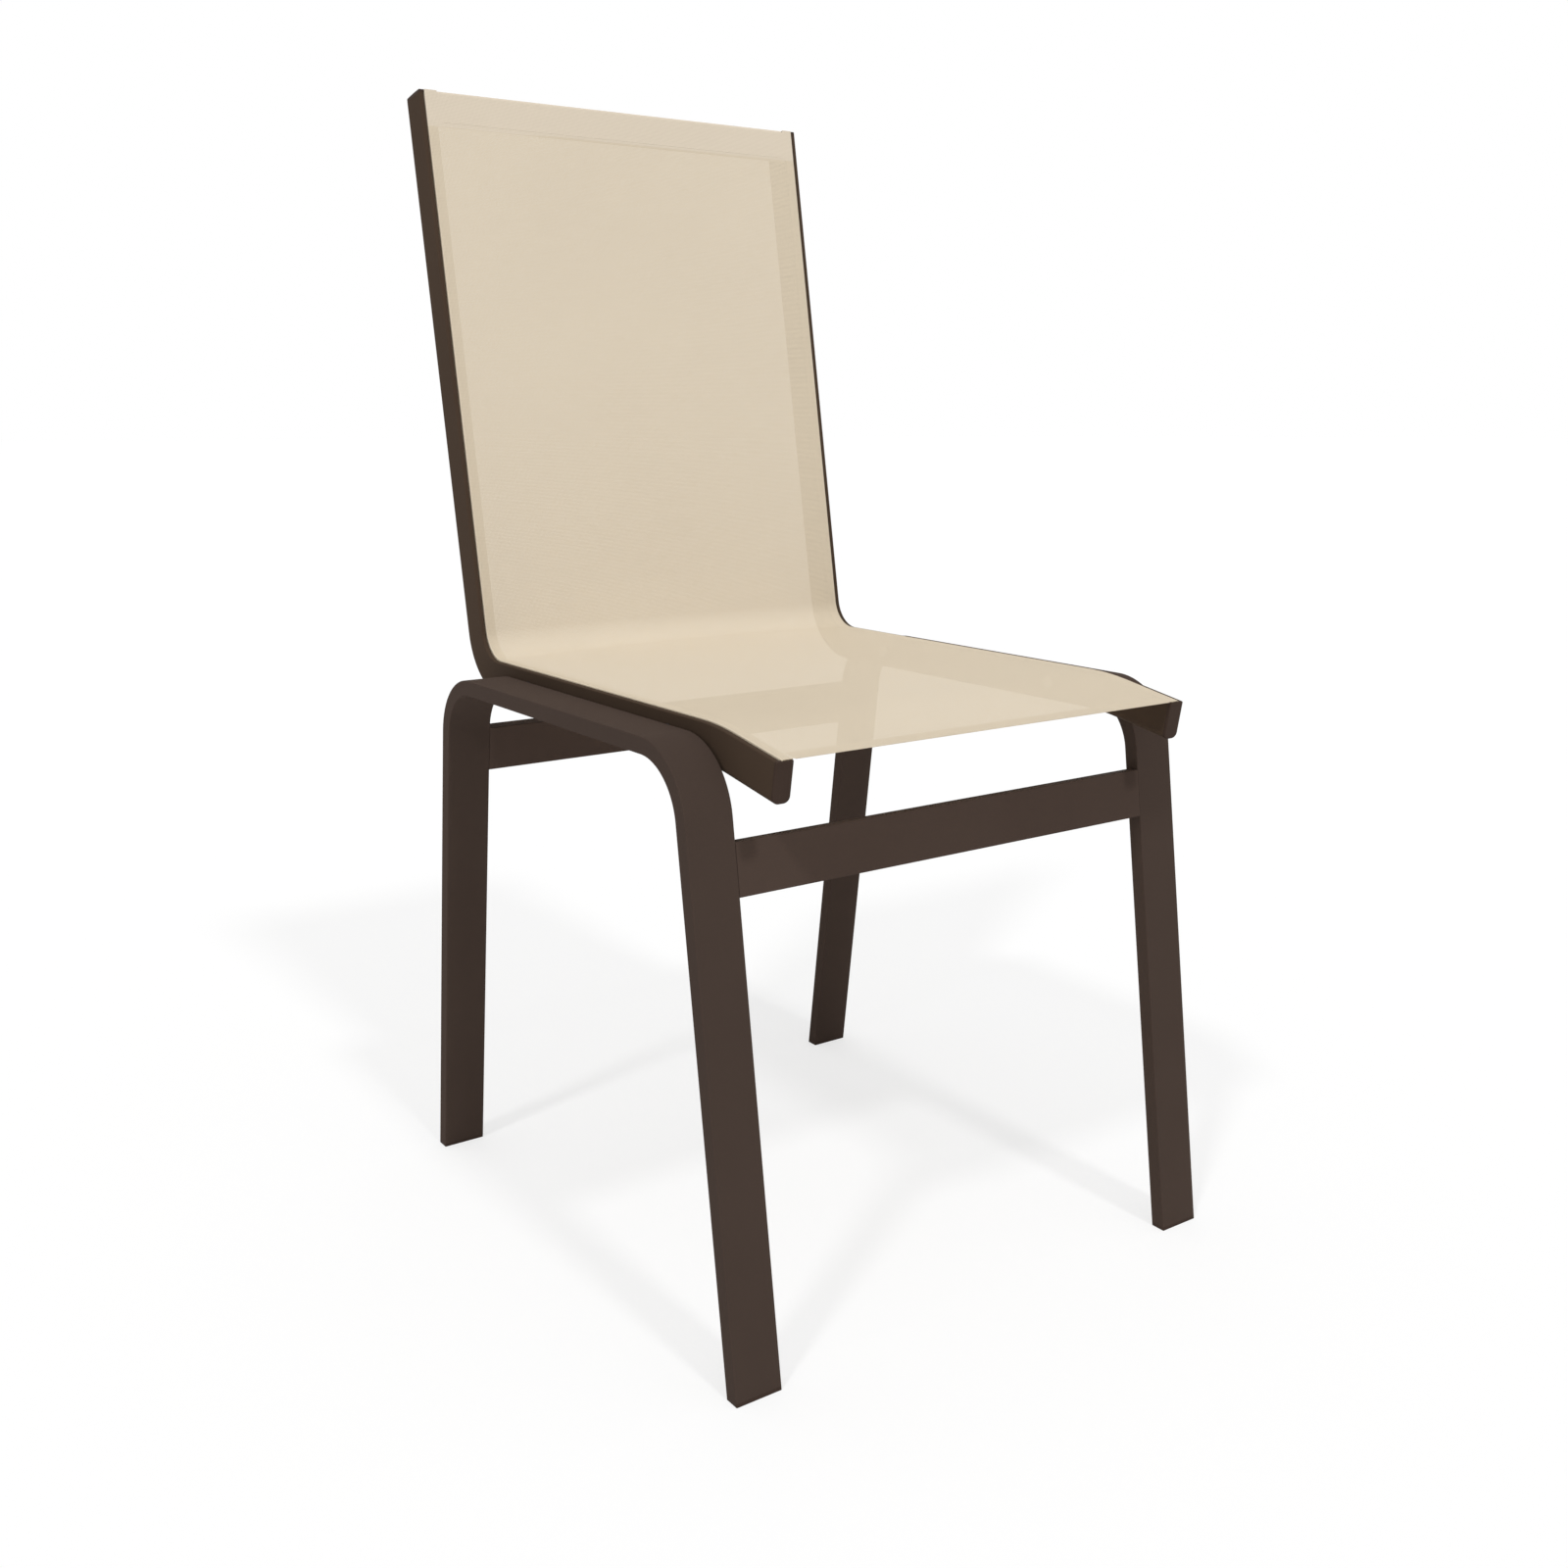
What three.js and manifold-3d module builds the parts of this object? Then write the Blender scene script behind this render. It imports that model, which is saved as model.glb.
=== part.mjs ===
// Sling patio chair: two bent flat-tube leg frames, two stretchers and two bent sling rails,
// with one mesh sling stretched between the rails from the front of the seat to the top of the back.
// Millimetres, +Z up. The sitter faces -Y, so the sitter's left is at +X.
import * as THREE from 'three';
import { mergeVertices } from 'three/addons/utils/BufferGeometryUtils.js';
import Module from 'manifold-3d';

// Driving dimensions of the chair.
const overallWidth = 476;
const footSpacing = 506; // front face of the front foot to front face of the rear foot
const legHeight = 464.1; // floor to the top face of the leg frame
const legLean = THREE.MathUtils.degToRad(7.9);
const legBendRadius = 46.6; // inside of the bend

// Flat tube of the leg frames and stretchers.
const tubeWidth = 39;
const tubeThickness = 13;
const tubeWall = 1.6;
const tubeCornerRadius = 0.8;
const frontStretcherDrop = 89.5; // top face of the leg frame to the middle of the stretcher
const rearStretcherDrop = 70.3;

// Sling rails: the run of each rail, measured on its top face, where the fabric lies.
const railGap = 2.5; // between the rail and the leg frame
const tipSetback = 85.7; // front foot to the corner where the seat starts to slope down
const tipLength = 78.8; // that corner to the front end
const tipDrop = THREE.MathUtils.degToRad(9.7);
const tipBendRadius = 240;
const seatLength = 373.7; // the front corner to the corner under the back
const seatBendRadius = 29;
const backRecline = THREE.MathUtils.degToRad(9.75);
const backLength = 487.6;

// Section of the sling rail, an extrusion with a round channel and a slot for the fabric's edge.
const railWidth = 14.3;
const railDepth = 31;
const railWall = 1.6;
const railTopRadius = 1.2;
const railBottomRadius = 5;
const lipThickness = 1.5; // metal over the channel
const channelRadius = 3.4;
const channelOffset = 4.9; // outer face of the rail to the middle of the slot
const slotWidth = 2.4;

// Sling, keder rods and spreader.
const fabricThickness = 0.8;
const hemDepth = 26.4;
const frontHemDepth = 12;
const fabricInset = 0.3; // sling edge to the end of the rail's cap
const hemSideGap = 1.5; // hem to the rail's inner face
const spreaderWidth = 19;
const spreaderThickness = 8;
const spreaderWall = 1.2;
const spreaderCornerRadius = 2;
const plugFlangeThickness = 2;
const plugSpigotLength = 15;
const pinRadius = 2;

// Caps of the rails and plugs of the feet.
const capThickness = 2.5;
const capCrown = 0.5;
const capSpigotLength = 12;
const footPlateThickness = 3;
const footSpigotLength = 22;

// Screws, spacers and rivet nuts that join the rails to the leg frames.
const screwInset = 30; // end of the leg's bend to the screw
const screwDrop = 15; // top face of the rail to the screw
const screwRadius = 3;
const screwLength = 30;
const screwPointLength = 0.8;
const headRadius = 5.25;
const headHeight = 3.3;
const headRimHeight = 1;
const headCrownRadius = 2.8;
const socketRadius = 2.3;
const socketDepth = 2;
const spacerRadius = 6.2;
const nutFlangeRadius = 5.8;
const nutFlangeThickness = 1;
const nutBarrelLength = 13;

// Clearances and overruns.
const seatGap = 0.3; // between pieces that rest on each other
const nutGap = 0.15; // rivet nut to its hole
const cutOverrun = 60; // how far a cut or a trimmed run reaches past the piece

// Counts of facets.
const cornerSteps = 2;
const channelSteps = 10;
const crownSteps = 6;
const roundSides = 16;
const legBendSteps = 8;
const seatBendSteps = 8;
const tipBendSteps = 3;
const kederSides = 8;
const hexSides = 6;

// Finishes.
const finishes = {
  frame: new THREE.MeshStandardMaterial({ color: 0x4a3c34, roughness: 0.45, metalness: 0.1 }),
  mesh: new THREE.MeshStandardMaterial({ color: 0xdccdb4, roughness: 0.85, metalness: 0 }),
  keder: new THREE.MeshStandardMaterial({ color: 0xd9d4c8, roughness: 0.6, metalness: 0 }),
  plastic: new THREE.MeshStandardMaterial({ color: 0x3a302a, roughness: 0.55, metalness: 0 }),
  spacer: new THREE.MeshStandardMaterial({ color: 0x1f1d1c, roughness: 0.6, metalness: 0 }),
  steel: new THREE.MeshStandardMaterial({ color: 0xa9abad, roughness: 0.35, metalness: 0.9 }),
  aluminium: new THREE.MeshStandardMaterial({ color: 0xc3c5c7, roughness: 0.4, metalness: 0.9 }),
};

// Sizes that follow from the ones above.
const halfTube = tubeThickness / 2;
const legInner = overallWidth / 2 - tubeWidth; // inner edge of a leg frame, along X
const legMiddle = overallWidth / 2 - tubeWidth / 2;
const railOuter = legInner - railGap;
const railInner = railOuter - railWidth;
const screwHeight = legHeight - halfTube;
const seatTop = screwHeight + screwDrop;
const slotX = railOuter - channelOffset;
const channelMiddle = -(lipThickness + channelRadius);
const chamberTop = lipThickness + 2 * channelRadius + railWall;
const chamberRadius = railBottomRadius - railWall;
const pocketRadius = channelRadius - seatGap; // fabric round the keder rod
const kederRadius = pocketRadius - fabricThickness - seatGap;
const railEndInset = capThickness + seatGap;
const nutBarrelRadius = halfTube - tubeWall - 2 * nutGap;

const wasm = await Module();
wasm.setup();

// A closed geometry as a solid that can be cut and joined, and back again.
function toSolid(geometry) {
  const bare = geometry.clone();
  bare.deleteAttribute('normal');
  bare.deleteAttribute('uv');
  const merged = mergeVertices(bare);
  return new wasm.Manifold(
    new wasm.Mesh({
      numProp: 3,
      vertProperties: merged.attributes.position.array,
      triVerts: Uint32Array.from(merged.index.array),
    }),
  );
}

function toGeometry(solid) {
  const { vertProperties, triVerts } = solid.getMesh();
  const geometry = new THREE.BufferGeometry();
  geometry.setAttribute('position', new THREE.BufferAttribute(vertProperties, 3));
  geometry.setIndex(new THREE.BufferAttribute(triVerts, 1));
  geometry.computeVertexNormals();
  return geometry;
}

// A path in the Y-Z plane. Its stations hold a point and the direction of travel as an angle from +Y,
// and every station shows an extruded section the same way round: section x along X, section y to the left.
class BentPath extends THREE.Curve {
  constructor(stations) {
    super();
    this.stations = stations;
  }

  at(u) {
    return this.stations[Math.round(u * (this.stations.length - 1))];
  }

  getPointAt(u) {
    const { y, z } = this.at(u);
    return new THREE.Vector3(0, y, z);
  }

  computeFrenetFrames() {
    const along = ({ angle }) => new THREE.Vector3(0, Math.cos(angle), Math.sin(angle));
    const across = ({ angle }) => new THREE.Vector3(0, Math.sin(angle), -Math.cos(angle));
    return {
      tangents: this.stations.map(along),
      normals: this.stations.map(() => new THREE.Vector3(1, 0, 0)),
      binormals: this.stations.map(across),
    };
  }
}

// The stations of a run of straight lines whose inner corners are rounded to the given radii.
function bentRun(corners, bends) {
  const angles = corners.slice(1).map((to, i) => Math.atan2(to.z - corners[i].z, to.y - corners[i].y));
  const stations = [{ ...corners[0], angle: angles[0] }];
  bends.forEach(({ radius, steps }, i) => {
    const [before, after] = [angles[i], angles[i + 1]];
    const turn = Math.atan2(Math.sin(after - before), Math.cos(after - before));
    const side = Math.sign(turn);
    const reach = radius * Math.tan(Math.abs(turn) / 2);
    const corner = corners[i + 1];
    const centreY = corner.y - reach * Math.cos(before) - side * radius * Math.sin(before);
    const centreZ = corner.z - reach * Math.sin(before) + side * radius * Math.cos(before);
    for (let step = 0; step <= steps; step += 1) {
      const angle = before + (turn * step) / steps;
      stations.push({
        y: centreY + side * radius * Math.sin(angle),
        z: centreZ - side * radius * Math.cos(angle),
        angle,
      });
    }
  });
  stations.push({ ...corners.at(-1), angle: angles.at(-1) });
  return stations;
}

// A station moved along its direction of travel, and a run shortened at both ends.
function moved({ y, z, angle }, distance) {
  return { y: y + distance * Math.cos(angle), z: z + distance * Math.sin(angle), angle };
}

function trimmed(stations, inset) {
  return [moved(stations[0], inset), ...stations.slice(1, -1), moved(stations.at(-1), -inset)];
}

// Outlines, as lists of points.
function arc(x, y, radius, from, to, steps) {
  return Array.from({ length: steps + 1 }, (_, i) => {
    const angle = from + ((to - from) * i) / steps;
    return new THREE.Vector2(x + radius * Math.cos(angle), y + radius * Math.sin(angle));
  });
}

const quarter = Math.PI / 2;

function roundedBox(left, right, bottom, top, bottomRadius, topRadius) {
  return [
    ...arc(right - bottomRadius, bottom + bottomRadius, bottomRadius, -quarter, 0, cornerSteps),
    ...arc(right - topRadius, top - topRadius, topRadius, 0, quarter, cornerSteps),
    ...arc(left + topRadius, top - topRadius, topRadius, quarter, 2 * quarter, cornerSteps),
    ...arc(left + bottomRadius, bottom + bottomRadius, bottomRadius, 2 * quarter, 3 * quarter, cornerSteps),
  ];
}

function shapeOf(outline, holes = []) {
  const shape = new THREE.Shape(outline);
  shape.holes = holes.map((hole) => new THREE.Path(hole));
  return shape;
}

function sweep(shape, stations) {
  const steps = stations.length - 1;
  return new THREE.ExtrudeGeometry(shape, { steps, extrudePath: new BentPath(stations) });
}

// A shape in the plane of a side view, extruded along X. At a station, shape x points back along the
// path and shape y to its left, which is the sitter's side of a rail and the inner side of a leg.
function frameAt({ y, z, angle }) {
  const back = new THREE.Vector3(0, -Math.cos(angle), -Math.sin(angle));
  const left = new THREE.Vector3(0, Math.sin(angle), -Math.cos(angle));
  return new THREE.Matrix4().makeBasis(back, left, new THREE.Vector3(1, 0, 0)).setPosition(0, y, z);
}

function crosswise(shape, station, from, to) {
  const geometry = new THREE.ExtrudeGeometry(shape, { depth: to - from, bevelEnabled: false });
  return geometry.translate(0, 0, from).applyMatrix4(frameAt(station));
}

// A cylinder along X, between two places on X.
function rod(radius, from, to, sides = roundSides) {
  const cylinder = new THREE.CylinderGeometry(radius, radius, to - from, sides);
  return cylinder.rotateZ(-quarter).translate((from + to) / 2, 0, 0);
}

// A turned piece, its profile given as [radius, place along X].
function turned(profile) {
  const points = profile.map(([radius, place]) => new THREE.Vector2(radius, place));
  return new THREE.LatheGeometry(points, roundSides).rotateZ(-quarter);
}

// The leg frame's centre line, as a function of the height up either leg.
const tubeHalfLevel = halfTube / Math.cos(legLean);

function legStation(end, z) {
  return end === 'front'
    ? { y: tubeHalfLevel + Math.tan(legLean) * z, z, angle: quarter - legLean }
    : { y: footSpacing + tubeHalfLevel - Math.tan(legLean) * z, z, angle: quarter + legLean };
}

const legCorners = [
  legStation('front', -cutOverrun),
  legStation('front', screwHeight),
  legStation('rear', screwHeight),
  legStation('rear', -cutOverrun),
];
const legBend = { radius: legBendRadius + halfTube, steps: legBendSteps };
const legRun = bentRun(legCorners, [legBend, legBend]);
const legBendReach = legBend.radius * Math.tan((quarter - legLean) / 2);
const screwY = {
  front: legCorners[1].y + legBendReach + screwInset,
  rear: legCorners[2].y - legBendReach - screwInset,
};

// The rail's top face line, from the top of the back to the front tip.
const seatCorner = { y: tipSetback + seatLength, z: seatTop };
const railRun = bentRun(
  [
    {
      y: seatCorner.y + backLength * Math.sin(backRecline),
      z: seatCorner.z + backLength * Math.cos(backRecline),
    },
    seatCorner,
    { y: tipSetback, z: seatTop },
    { y: tipSetback - tipLength * Math.cos(tipDrop), z: seatTop - tipLength * Math.sin(tipDrop) },
  ],
  [
    { radius: seatBendRadius, steps: seatBendSteps },
    { radius: tipBendRadius, steps: tipBendSteps },
  ],
);
const railTop = railRun[0];
const railTip = railRun.at(-1);
const grooveRun = trimmed(railRun, railEndInset);

// Sections of the flat tube, centred on the given line.
function tubeOutline(inset, middle) {
  const [width, height] = [tubeWidth / 2 - inset, halfTube - inset];
  const radius = Math.max(tubeCornerRadius - inset, tubeCornerRadius / 2);
  return roundedBox(middle - width, middle + width, -height, height, radius, radius);
}

// A level layer that is wider than the chair, to cut at a height.
function layer(bottom, top) {
  const size = 2 * (overallWidth + footSpacing);
  return toSolid(new THREE.BoxGeometry(size, size, top - bottom).translate(0, 0, (bottom + top) / 2));
}

function legFrame() {
  const section = shapeOf(tubeOutline(0, legMiddle), [tubeOutline(tubeWall, legMiddle)]);
  const foot = layer(-2 * cutOverrun, footPlateThickness + seatGap);
  let solid = toSolid(sweep(section, legRun)).subtract(foot);
  for (const y of Object.values(screwY)) {
    const hole = rod(nutBarrelRadius + nutGap, legInner - tubeWall, legInner + 2 * tubeWall);
    solid = solid.subtract(toSolid(hole.translate(0, y, screwHeight)));
  }
  return toGeometry(solid);
}

// A foot plug: a plate that the leg stands on, and a spigot inside the tube.
function footPlug(end) {
  const column = [legStation(end, -cutOverrun), legStation(end, legHeight / 2)];
  const plate = toSolid(sweep(shapeOf(tubeOutline(0, legMiddle)), column));
  const spigot = toSolid(sweep(shapeOf(tubeOutline(tubeWall + seatGap, legMiddle)), column));
  return toGeometry(
    plate
      .intersect(layer(0, footPlateThickness))
      .add(spigot.intersect(layer(footPlateThickness / 2, footPlateThickness + footSpigotLength))),
  );
}

function stretcher(end, drop) {
  const along = roundedBox(
    -tubeWidth / 2, tubeWidth / 2, -halfTube, halfTube, tubeCornerRadius, tubeCornerRadius,
  );
  const hollow = roundedBox(
    tubeWall - tubeWidth / 2, tubeWidth / 2 - tubeWall, tubeWall - halfTube, halfTube - tubeWall,
    tubeCornerRadius / 2, tubeCornerRadius / 2,
  );
  const reach = legInner - seatGap;
  return crosswise(shapeOf(along, [hollow]), legStation(end, legHeight - drop), -reach, reach);
}

// The rail's section: the slot opens in the top face, close to the outer side.
const railOutline = roundedBox(railInner, railOuter, -railDepth, 0, railBottomRadius, railTopRadius);

function railSection() {
  const slotAngle = Math.acos(slotWidth / 2 / channelRadius);
  const slotAt = 2 * (cornerSteps + 1); // after the outer side's two corners
  const channel = [
    new THREE.Vector2(slotX + slotWidth / 2, 0),
    ...arc(slotX, channelMiddle, channelRadius, slotAngle, -Math.PI - slotAngle, channelSteps),
    new THREE.Vector2(slotX - slotWidth / 2, 0),
  ];
  const outline = [...railOutline.slice(0, slotAt), ...channel, ...railOutline.slice(slotAt)];
  const [left, right, bottom] = [railInner + railWall, railOuter - railWall, railWall - railDepth];
  const upper = slotX - channelRadius - railWall;
  const [low, radius] = [bottom + chamberRadius, chamberRadius];
  const chamber = [
    ...arc(right - radius, low, radius, -quarter, 0, cornerSteps),
    new THREE.Vector2(right, -chamberTop),
    new THREE.Vector2(upper, -chamberTop),
    new THREE.Vector2(upper, -railWall),
    new THREE.Vector2(left, -railWall),
    ...arc(left + radius, low, radius, 2 * quarter, 3 * quarter, cornerSteps),
  ];
  return shapeOf(outline, [chamber]);
}

function slingRail() {
  let solid = toSolid(sweep(railSection(), grooveRun));
  for (const y of Object.values(screwY)) {
    const hole = rod(screwRadius + seatGap, railInner - railWall, railOuter + railWall);
    solid = solid.subtract(toSolid(hole.translate(0, y, screwHeight)));
  }
  const pinHole = rod(pinRadius + seatGap, railInner - railWall, railInner + 1.5 * railWall);
  const pinPlace = new THREE.Matrix4().makeTranslation(-spreaderMiddle, -spreaderThickness / 2, 0);
  const alongX = new THREE.Matrix4().makeRotationY(-quarter);
  pinHole.applyMatrix4(alongX).applyMatrix4(pinPlace).applyMatrix4(frameAt(railTop));
  return toGeometry(solid.subtract(toSolid(pinHole)));
}

// A rail cap: a plate with the rail's outline and a crowned or flat outer face, and a spigot in the
// rail's chamber. At the top end shape x points out of the rail and at the front end into it, so
// outwards is 1 or -1.
function railCap(station, outwards, crown) {
  const along = (...distances) =>
    distances.map((distance) => outwards * distance).sort((a, b) => a - b).map((d) => moved(station, d));
  const rise = arc(0, 0, 1, 0, Math.PI, crownSteps).map(
    ({ x, y }) => new THREE.Vector2(outwards * crown * y, (railDepth / 2) * (x - 1)),
  );
  const plate = shapeOf([
    ...rise,
    new THREE.Vector2(-outwards * capThickness, -railDepth),
    new THREE.Vector2(-outwards * capThickness, 0),
  ]);
  const blank = toSolid(sweep(shapeOf(railOutline), along(-2 * capThickness, 2 * capThickness)));
  const plateSolid = toSolid(crosswise(plate, station, railInner, railOuter)).intersect(blank);
  const inset = railWall + seatGap;
  const spigot = roundedBox(
    railInner + inset, railOuter - inset, inset - railDepth, -(chamberTop + seatGap),
    chamberRadius - seatGap, inset / 2,
  );
  const spigotRun = along(capThickness / 2, capThickness + capSpigotLength);
  return toGeometry(plateSolid.add(toSolid(sweep(shapeOf(spigot), spigotRun))));
}

// The sling: a flat sheet over the rails, a pocket round each keder rod and a hem at each end.
const sheetBack = seatGap;
const sheetFront = seatGap + fabricThickness;
const sheetMiddle = (sheetBack + sheetFront) / 2;
const hemReach = railInner - hemSideGap;
const spreaderTop = fabricInset + fabricThickness + seatGap; // below the top end of the rail
const spreaderMiddle = spreaderTop + spreaderWidth / 2;

function pocketShape() {
  const slotAngle = Math.acos(fabricThickness / pocketRadius);
  const outline = [
    new THREE.Vector2(slotX + fabricThickness, sheetMiddle),
    new THREE.Vector2(slotX - fabricThickness, sheetMiddle),
    ...arc(slotX, channelMiddle, pocketRadius, Math.PI - slotAngle, 2 * Math.PI + slotAngle, channelSteps),
  ];
  const boreRadius = pocketRadius - fabricThickness;
  const bore = arc(slotX, channelMiddle, boreRadius, 0, 2 * Math.PI, kederSides).slice(1);
  return shapeOf(outline, [bore]);
}

function topHemShape() {
  const back = -(spreaderThickness + seatGap);
  const top = -fabricInset;
  const foot = top - hemDepth;
  const barEnd = -(spreaderTop + spreaderWidth + seatGap);
  const outline = [
    new THREE.Vector2(top, sheetMiddle),
    new THREE.Vector2(foot, sheetMiddle),
    new THREE.Vector2(barEnd - fabricThickness, back - fabricThickness),
    new THREE.Vector2(top, back - fabricThickness),
  ];
  const pocket = [
    new THREE.Vector2(top - fabricThickness, sheetBack),
    new THREE.Vector2(top - fabricThickness, back),
    new THREE.Vector2(barEnd, back),
    new THREE.Vector2(barEnd, -spreaderThickness / 2),
    new THREE.Vector2((barEnd + foot) / 2, sheetBack),
  ];
  return shapeOf(outline, [pocket]);
}

function frontHemShape() {
  return shapeOf([
    new THREE.Vector2(fabricInset, sheetMiddle),
    new THREE.Vector2(fabricInset, sheetBack - fabricThickness),
    new THREE.Vector2(fabricInset + frontHemDepth, sheetBack - fabricThickness),
    new THREE.Vector2(fabricInset + frontHemDepth, sheetMiddle),
  ]);
}

function sling() {
  const reach = slotX + fabricThickness;
  const sheet = roundedBox(-reach, reach, sheetBack, sheetFront, fabricThickness / 4, fabricThickness / 4);
  const pocket = toSolid(sweep(pocketShape(), grooveRun));
  return toGeometry(
    toSolid(sweep(shapeOf(sheet), trimmed(railRun, fabricInset)))
      .add(pocket)
      .add(pocket.mirror([1, 0, 0]))
      .add(toSolid(crosswise(topHemShape(), railTop, -hemReach, hemReach)))
      .add(toSolid(crosswise(frontHemShape(), railTip, -hemReach, hemReach))),
  );
}

function kederRod() {
  const section = arc(slotX, channelMiddle, kederRadius, 0, 2 * Math.PI, kederSides).slice(1);
  return sweep(shapeOf(section), grooveRun);
}

// The spreader bar in the top hem, and the plug with a pin at each end of it.
const plugFace = railInner - seatGap;
const spreaderReach = plugFace - plugFlangeThickness - seatGap;

function spreaderOutline(inset) {
  const radius = Math.max(spreaderCornerRadius - inset, spreaderCornerRadius / 4);
  const [foot, top] = [inset - spreaderTop - spreaderWidth, -spreaderTop - inset];
  return roundedBox(foot, top, inset - spreaderThickness, -inset, radius, radius);
}

function spreaderBar() {
  const section = shapeOf(spreaderOutline(0), [spreaderOutline(spreaderWall)]);
  return crosswise(section, railTop, -spreaderReach, spreaderReach);
}

function spreaderPlug() {
  const pinEnd = slotX - channelRadius - railWall - seatGap;
  const pinMiddle = -spreaderThickness / 2;
  const pin = arc(-spreaderMiddle, pinMiddle, pinRadius, 0, 2 * Math.PI, roundSides).slice(1);
  const spigot = shapeOf(spreaderOutline(spreaderWall + seatGap));
  const flangeFoot = plugFace - plugFlangeThickness;
  return toGeometry(
    toSolid(crosswise(shapeOf(spreaderOutline(0)), railTop, flangeFoot, plugFace))
      .add(toSolid(crosswise(spigot, railTop, flangeFoot - plugSpigotLength, plugFace)))
      .add(toSolid(crosswise(shapeOf(pin), railTop, flangeFoot, pinEnd))),
  );
}

// Fasteners, each lying along X with its seat at X = 0.
function railScrew() {
  const body = turned([
    [0, -headHeight],
    [headCrownRadius, -headHeight],
    [headRadius, -headRimHeight],
    [headRadius, 0],
    [screwRadius, 0],
    [screwRadius, screwLength - screwPointLength],
    [screwRadius - screwPointLength, screwLength],
    [0, screwLength],
  ]);
  const socket = rod(socketRadius, -2 * headHeight, socketDepth - headHeight, hexSides);
  return toGeometry(toSolid(body).subtract(toSolid(socket)));
}

function railSpacer() {
  const bore = screwRadius + seatGap;
  const thickness = railGap - nutFlangeThickness;
  return turned([[bore, 0], [spacerRadius, 0], [spacerRadius, thickness], [bore, thickness], [bore, 0]]);
}

function rivetNut() {
  const bore = screwRadius + seatGap;
  return turned([
    [bore, -nutFlangeThickness],
    [nutFlangeRadius, -nutFlangeThickness],
    [nutFlangeRadius, 0],
    [nutBarrelRadius, 0],
    [nutBarrelRadius, nutBarrelLength],
    [bore, nutBarrelLength],
    [bore, -nutFlangeThickness],
  ]);
}

// The assembly. Each half is modelled at +X, and the sitter's right half is its mirror image.
const chair = new THREE.Group();

function place(parent, name, geometry, finish, x = 0, y = 0, z = 0) {
  const mesh = new THREE.Mesh(geometry, finishes[finish]);
  mesh.name = name;
  mesh.position.set(x, y, z);
  parent.add(mesh);
}

for (const [side, mirror] of [['left', 1], ['right', -1]]) {
  const half = new THREE.Group();
  half.scale.x = mirror;
  chair.add(half);
  place(half, `${side}_leg_frame`, legFrame(), 'frame');
  place(half, `${side}_sling_rail`, slingRail(), 'frame');
  place(half, `${side}_rail_top_cap`, railCap(railTop, 1, capCrown), 'plastic');
  place(half, `${side}_rail_front_cap`, railCap(railTip, -1, 0), 'plastic');
  place(half, `${side}_keder_rod`, kederRod(), 'keder');
  place(half, `${side}_spreader_plug`, spreaderPlug(), 'plastic');
  for (const end of ['front', 'rear']) {
    place(half, `${side}_${end}_foot_plug`, footPlug(end), 'plastic');
    place(half, `${side}_${end}_rail_screw`, railScrew(), 'steel', railInner, screwY[end], screwHeight);
    place(half, `${side}_${end}_rail_spacer`, railSpacer(), 'spacer', railOuter, screwY[end], screwHeight);
    place(half, `${side}_${end}_rivet_nut`, rivetNut(), 'steel', legInner, screwY[end], screwHeight);
  }
}
place(chair, 'front_stretcher', stretcher('front', frontStretcherDrop), 'frame');
place(chair, 'rear_stretcher', stretcher('rear', rearStretcherDrop), 'frame');
place(chair, 'spreader_bar', spreaderBar(), 'aluminium');
place(chair, 'sling', sling(), 'mesh');

// The chair's origin is the middle of its floor rectangle.
const box = new THREE.Box3().setFromObject(chair);
chair.position.y = -(box.min.y + box.max.y) / 2;

export default chair;
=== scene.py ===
# %% [markdown]
# # A sling patio chair
#
# The chair has two bent flat-tube leg frames, two cross tubes, two bent rails and one mesh sling stretched
# between the rails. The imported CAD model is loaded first. Each piece made here lies exactly where one of
# its solids lies and takes that solid's place in the picture. Starting from the CAD keeps every size true,
# so this lesson is only about fine shapes, finishes and light.

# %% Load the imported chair
import math

import bmesh
import bpy
from mathutils import Matrix, Vector


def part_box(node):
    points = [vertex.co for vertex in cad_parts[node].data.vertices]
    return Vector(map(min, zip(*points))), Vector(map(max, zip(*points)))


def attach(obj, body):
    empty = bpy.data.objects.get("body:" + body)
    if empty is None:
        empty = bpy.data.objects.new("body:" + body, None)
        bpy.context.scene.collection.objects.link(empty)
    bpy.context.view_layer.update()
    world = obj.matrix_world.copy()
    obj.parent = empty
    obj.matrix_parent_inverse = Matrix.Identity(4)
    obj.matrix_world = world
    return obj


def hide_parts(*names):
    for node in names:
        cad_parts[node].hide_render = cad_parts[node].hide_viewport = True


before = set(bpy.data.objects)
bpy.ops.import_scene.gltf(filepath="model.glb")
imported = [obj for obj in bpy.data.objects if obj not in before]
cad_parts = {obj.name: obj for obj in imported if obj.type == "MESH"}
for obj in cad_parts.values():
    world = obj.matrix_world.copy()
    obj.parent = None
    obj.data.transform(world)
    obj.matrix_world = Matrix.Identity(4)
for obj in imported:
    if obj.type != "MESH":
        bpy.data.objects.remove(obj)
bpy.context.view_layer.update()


# %% [markdown]
# ## Where to measure from
#
# A chair maker measures along the floor from the front of the front foot, in millimetres. Blender wants
# metres from the model's own origin. The pieces are drawn the maker's way, and one helper moves and scales
# each finished mesh. That keeps readable numbers in the drawing and leaves every object at the origin.

# %% Units and the front of the front foot
MM = 0.001
front_of_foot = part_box("left_front_foot_plug")[0][1] / MM
print(f"front face of the front foot at y = {front_of_foot:.2f} mm")

# %% [markdown]
# ## Drawing as a bender does
#
# Tubes and extrusions are straight runs with bends between them, and so are the outlines of their sections.
# Both could be lists of points, but a list hides the radius and the angle that the workshop uses. So a
# route is written as moves: a length and no turn goes straight on, a radius and a turn in degrees bends to
# the right, and a negative turn bends to the left.

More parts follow.
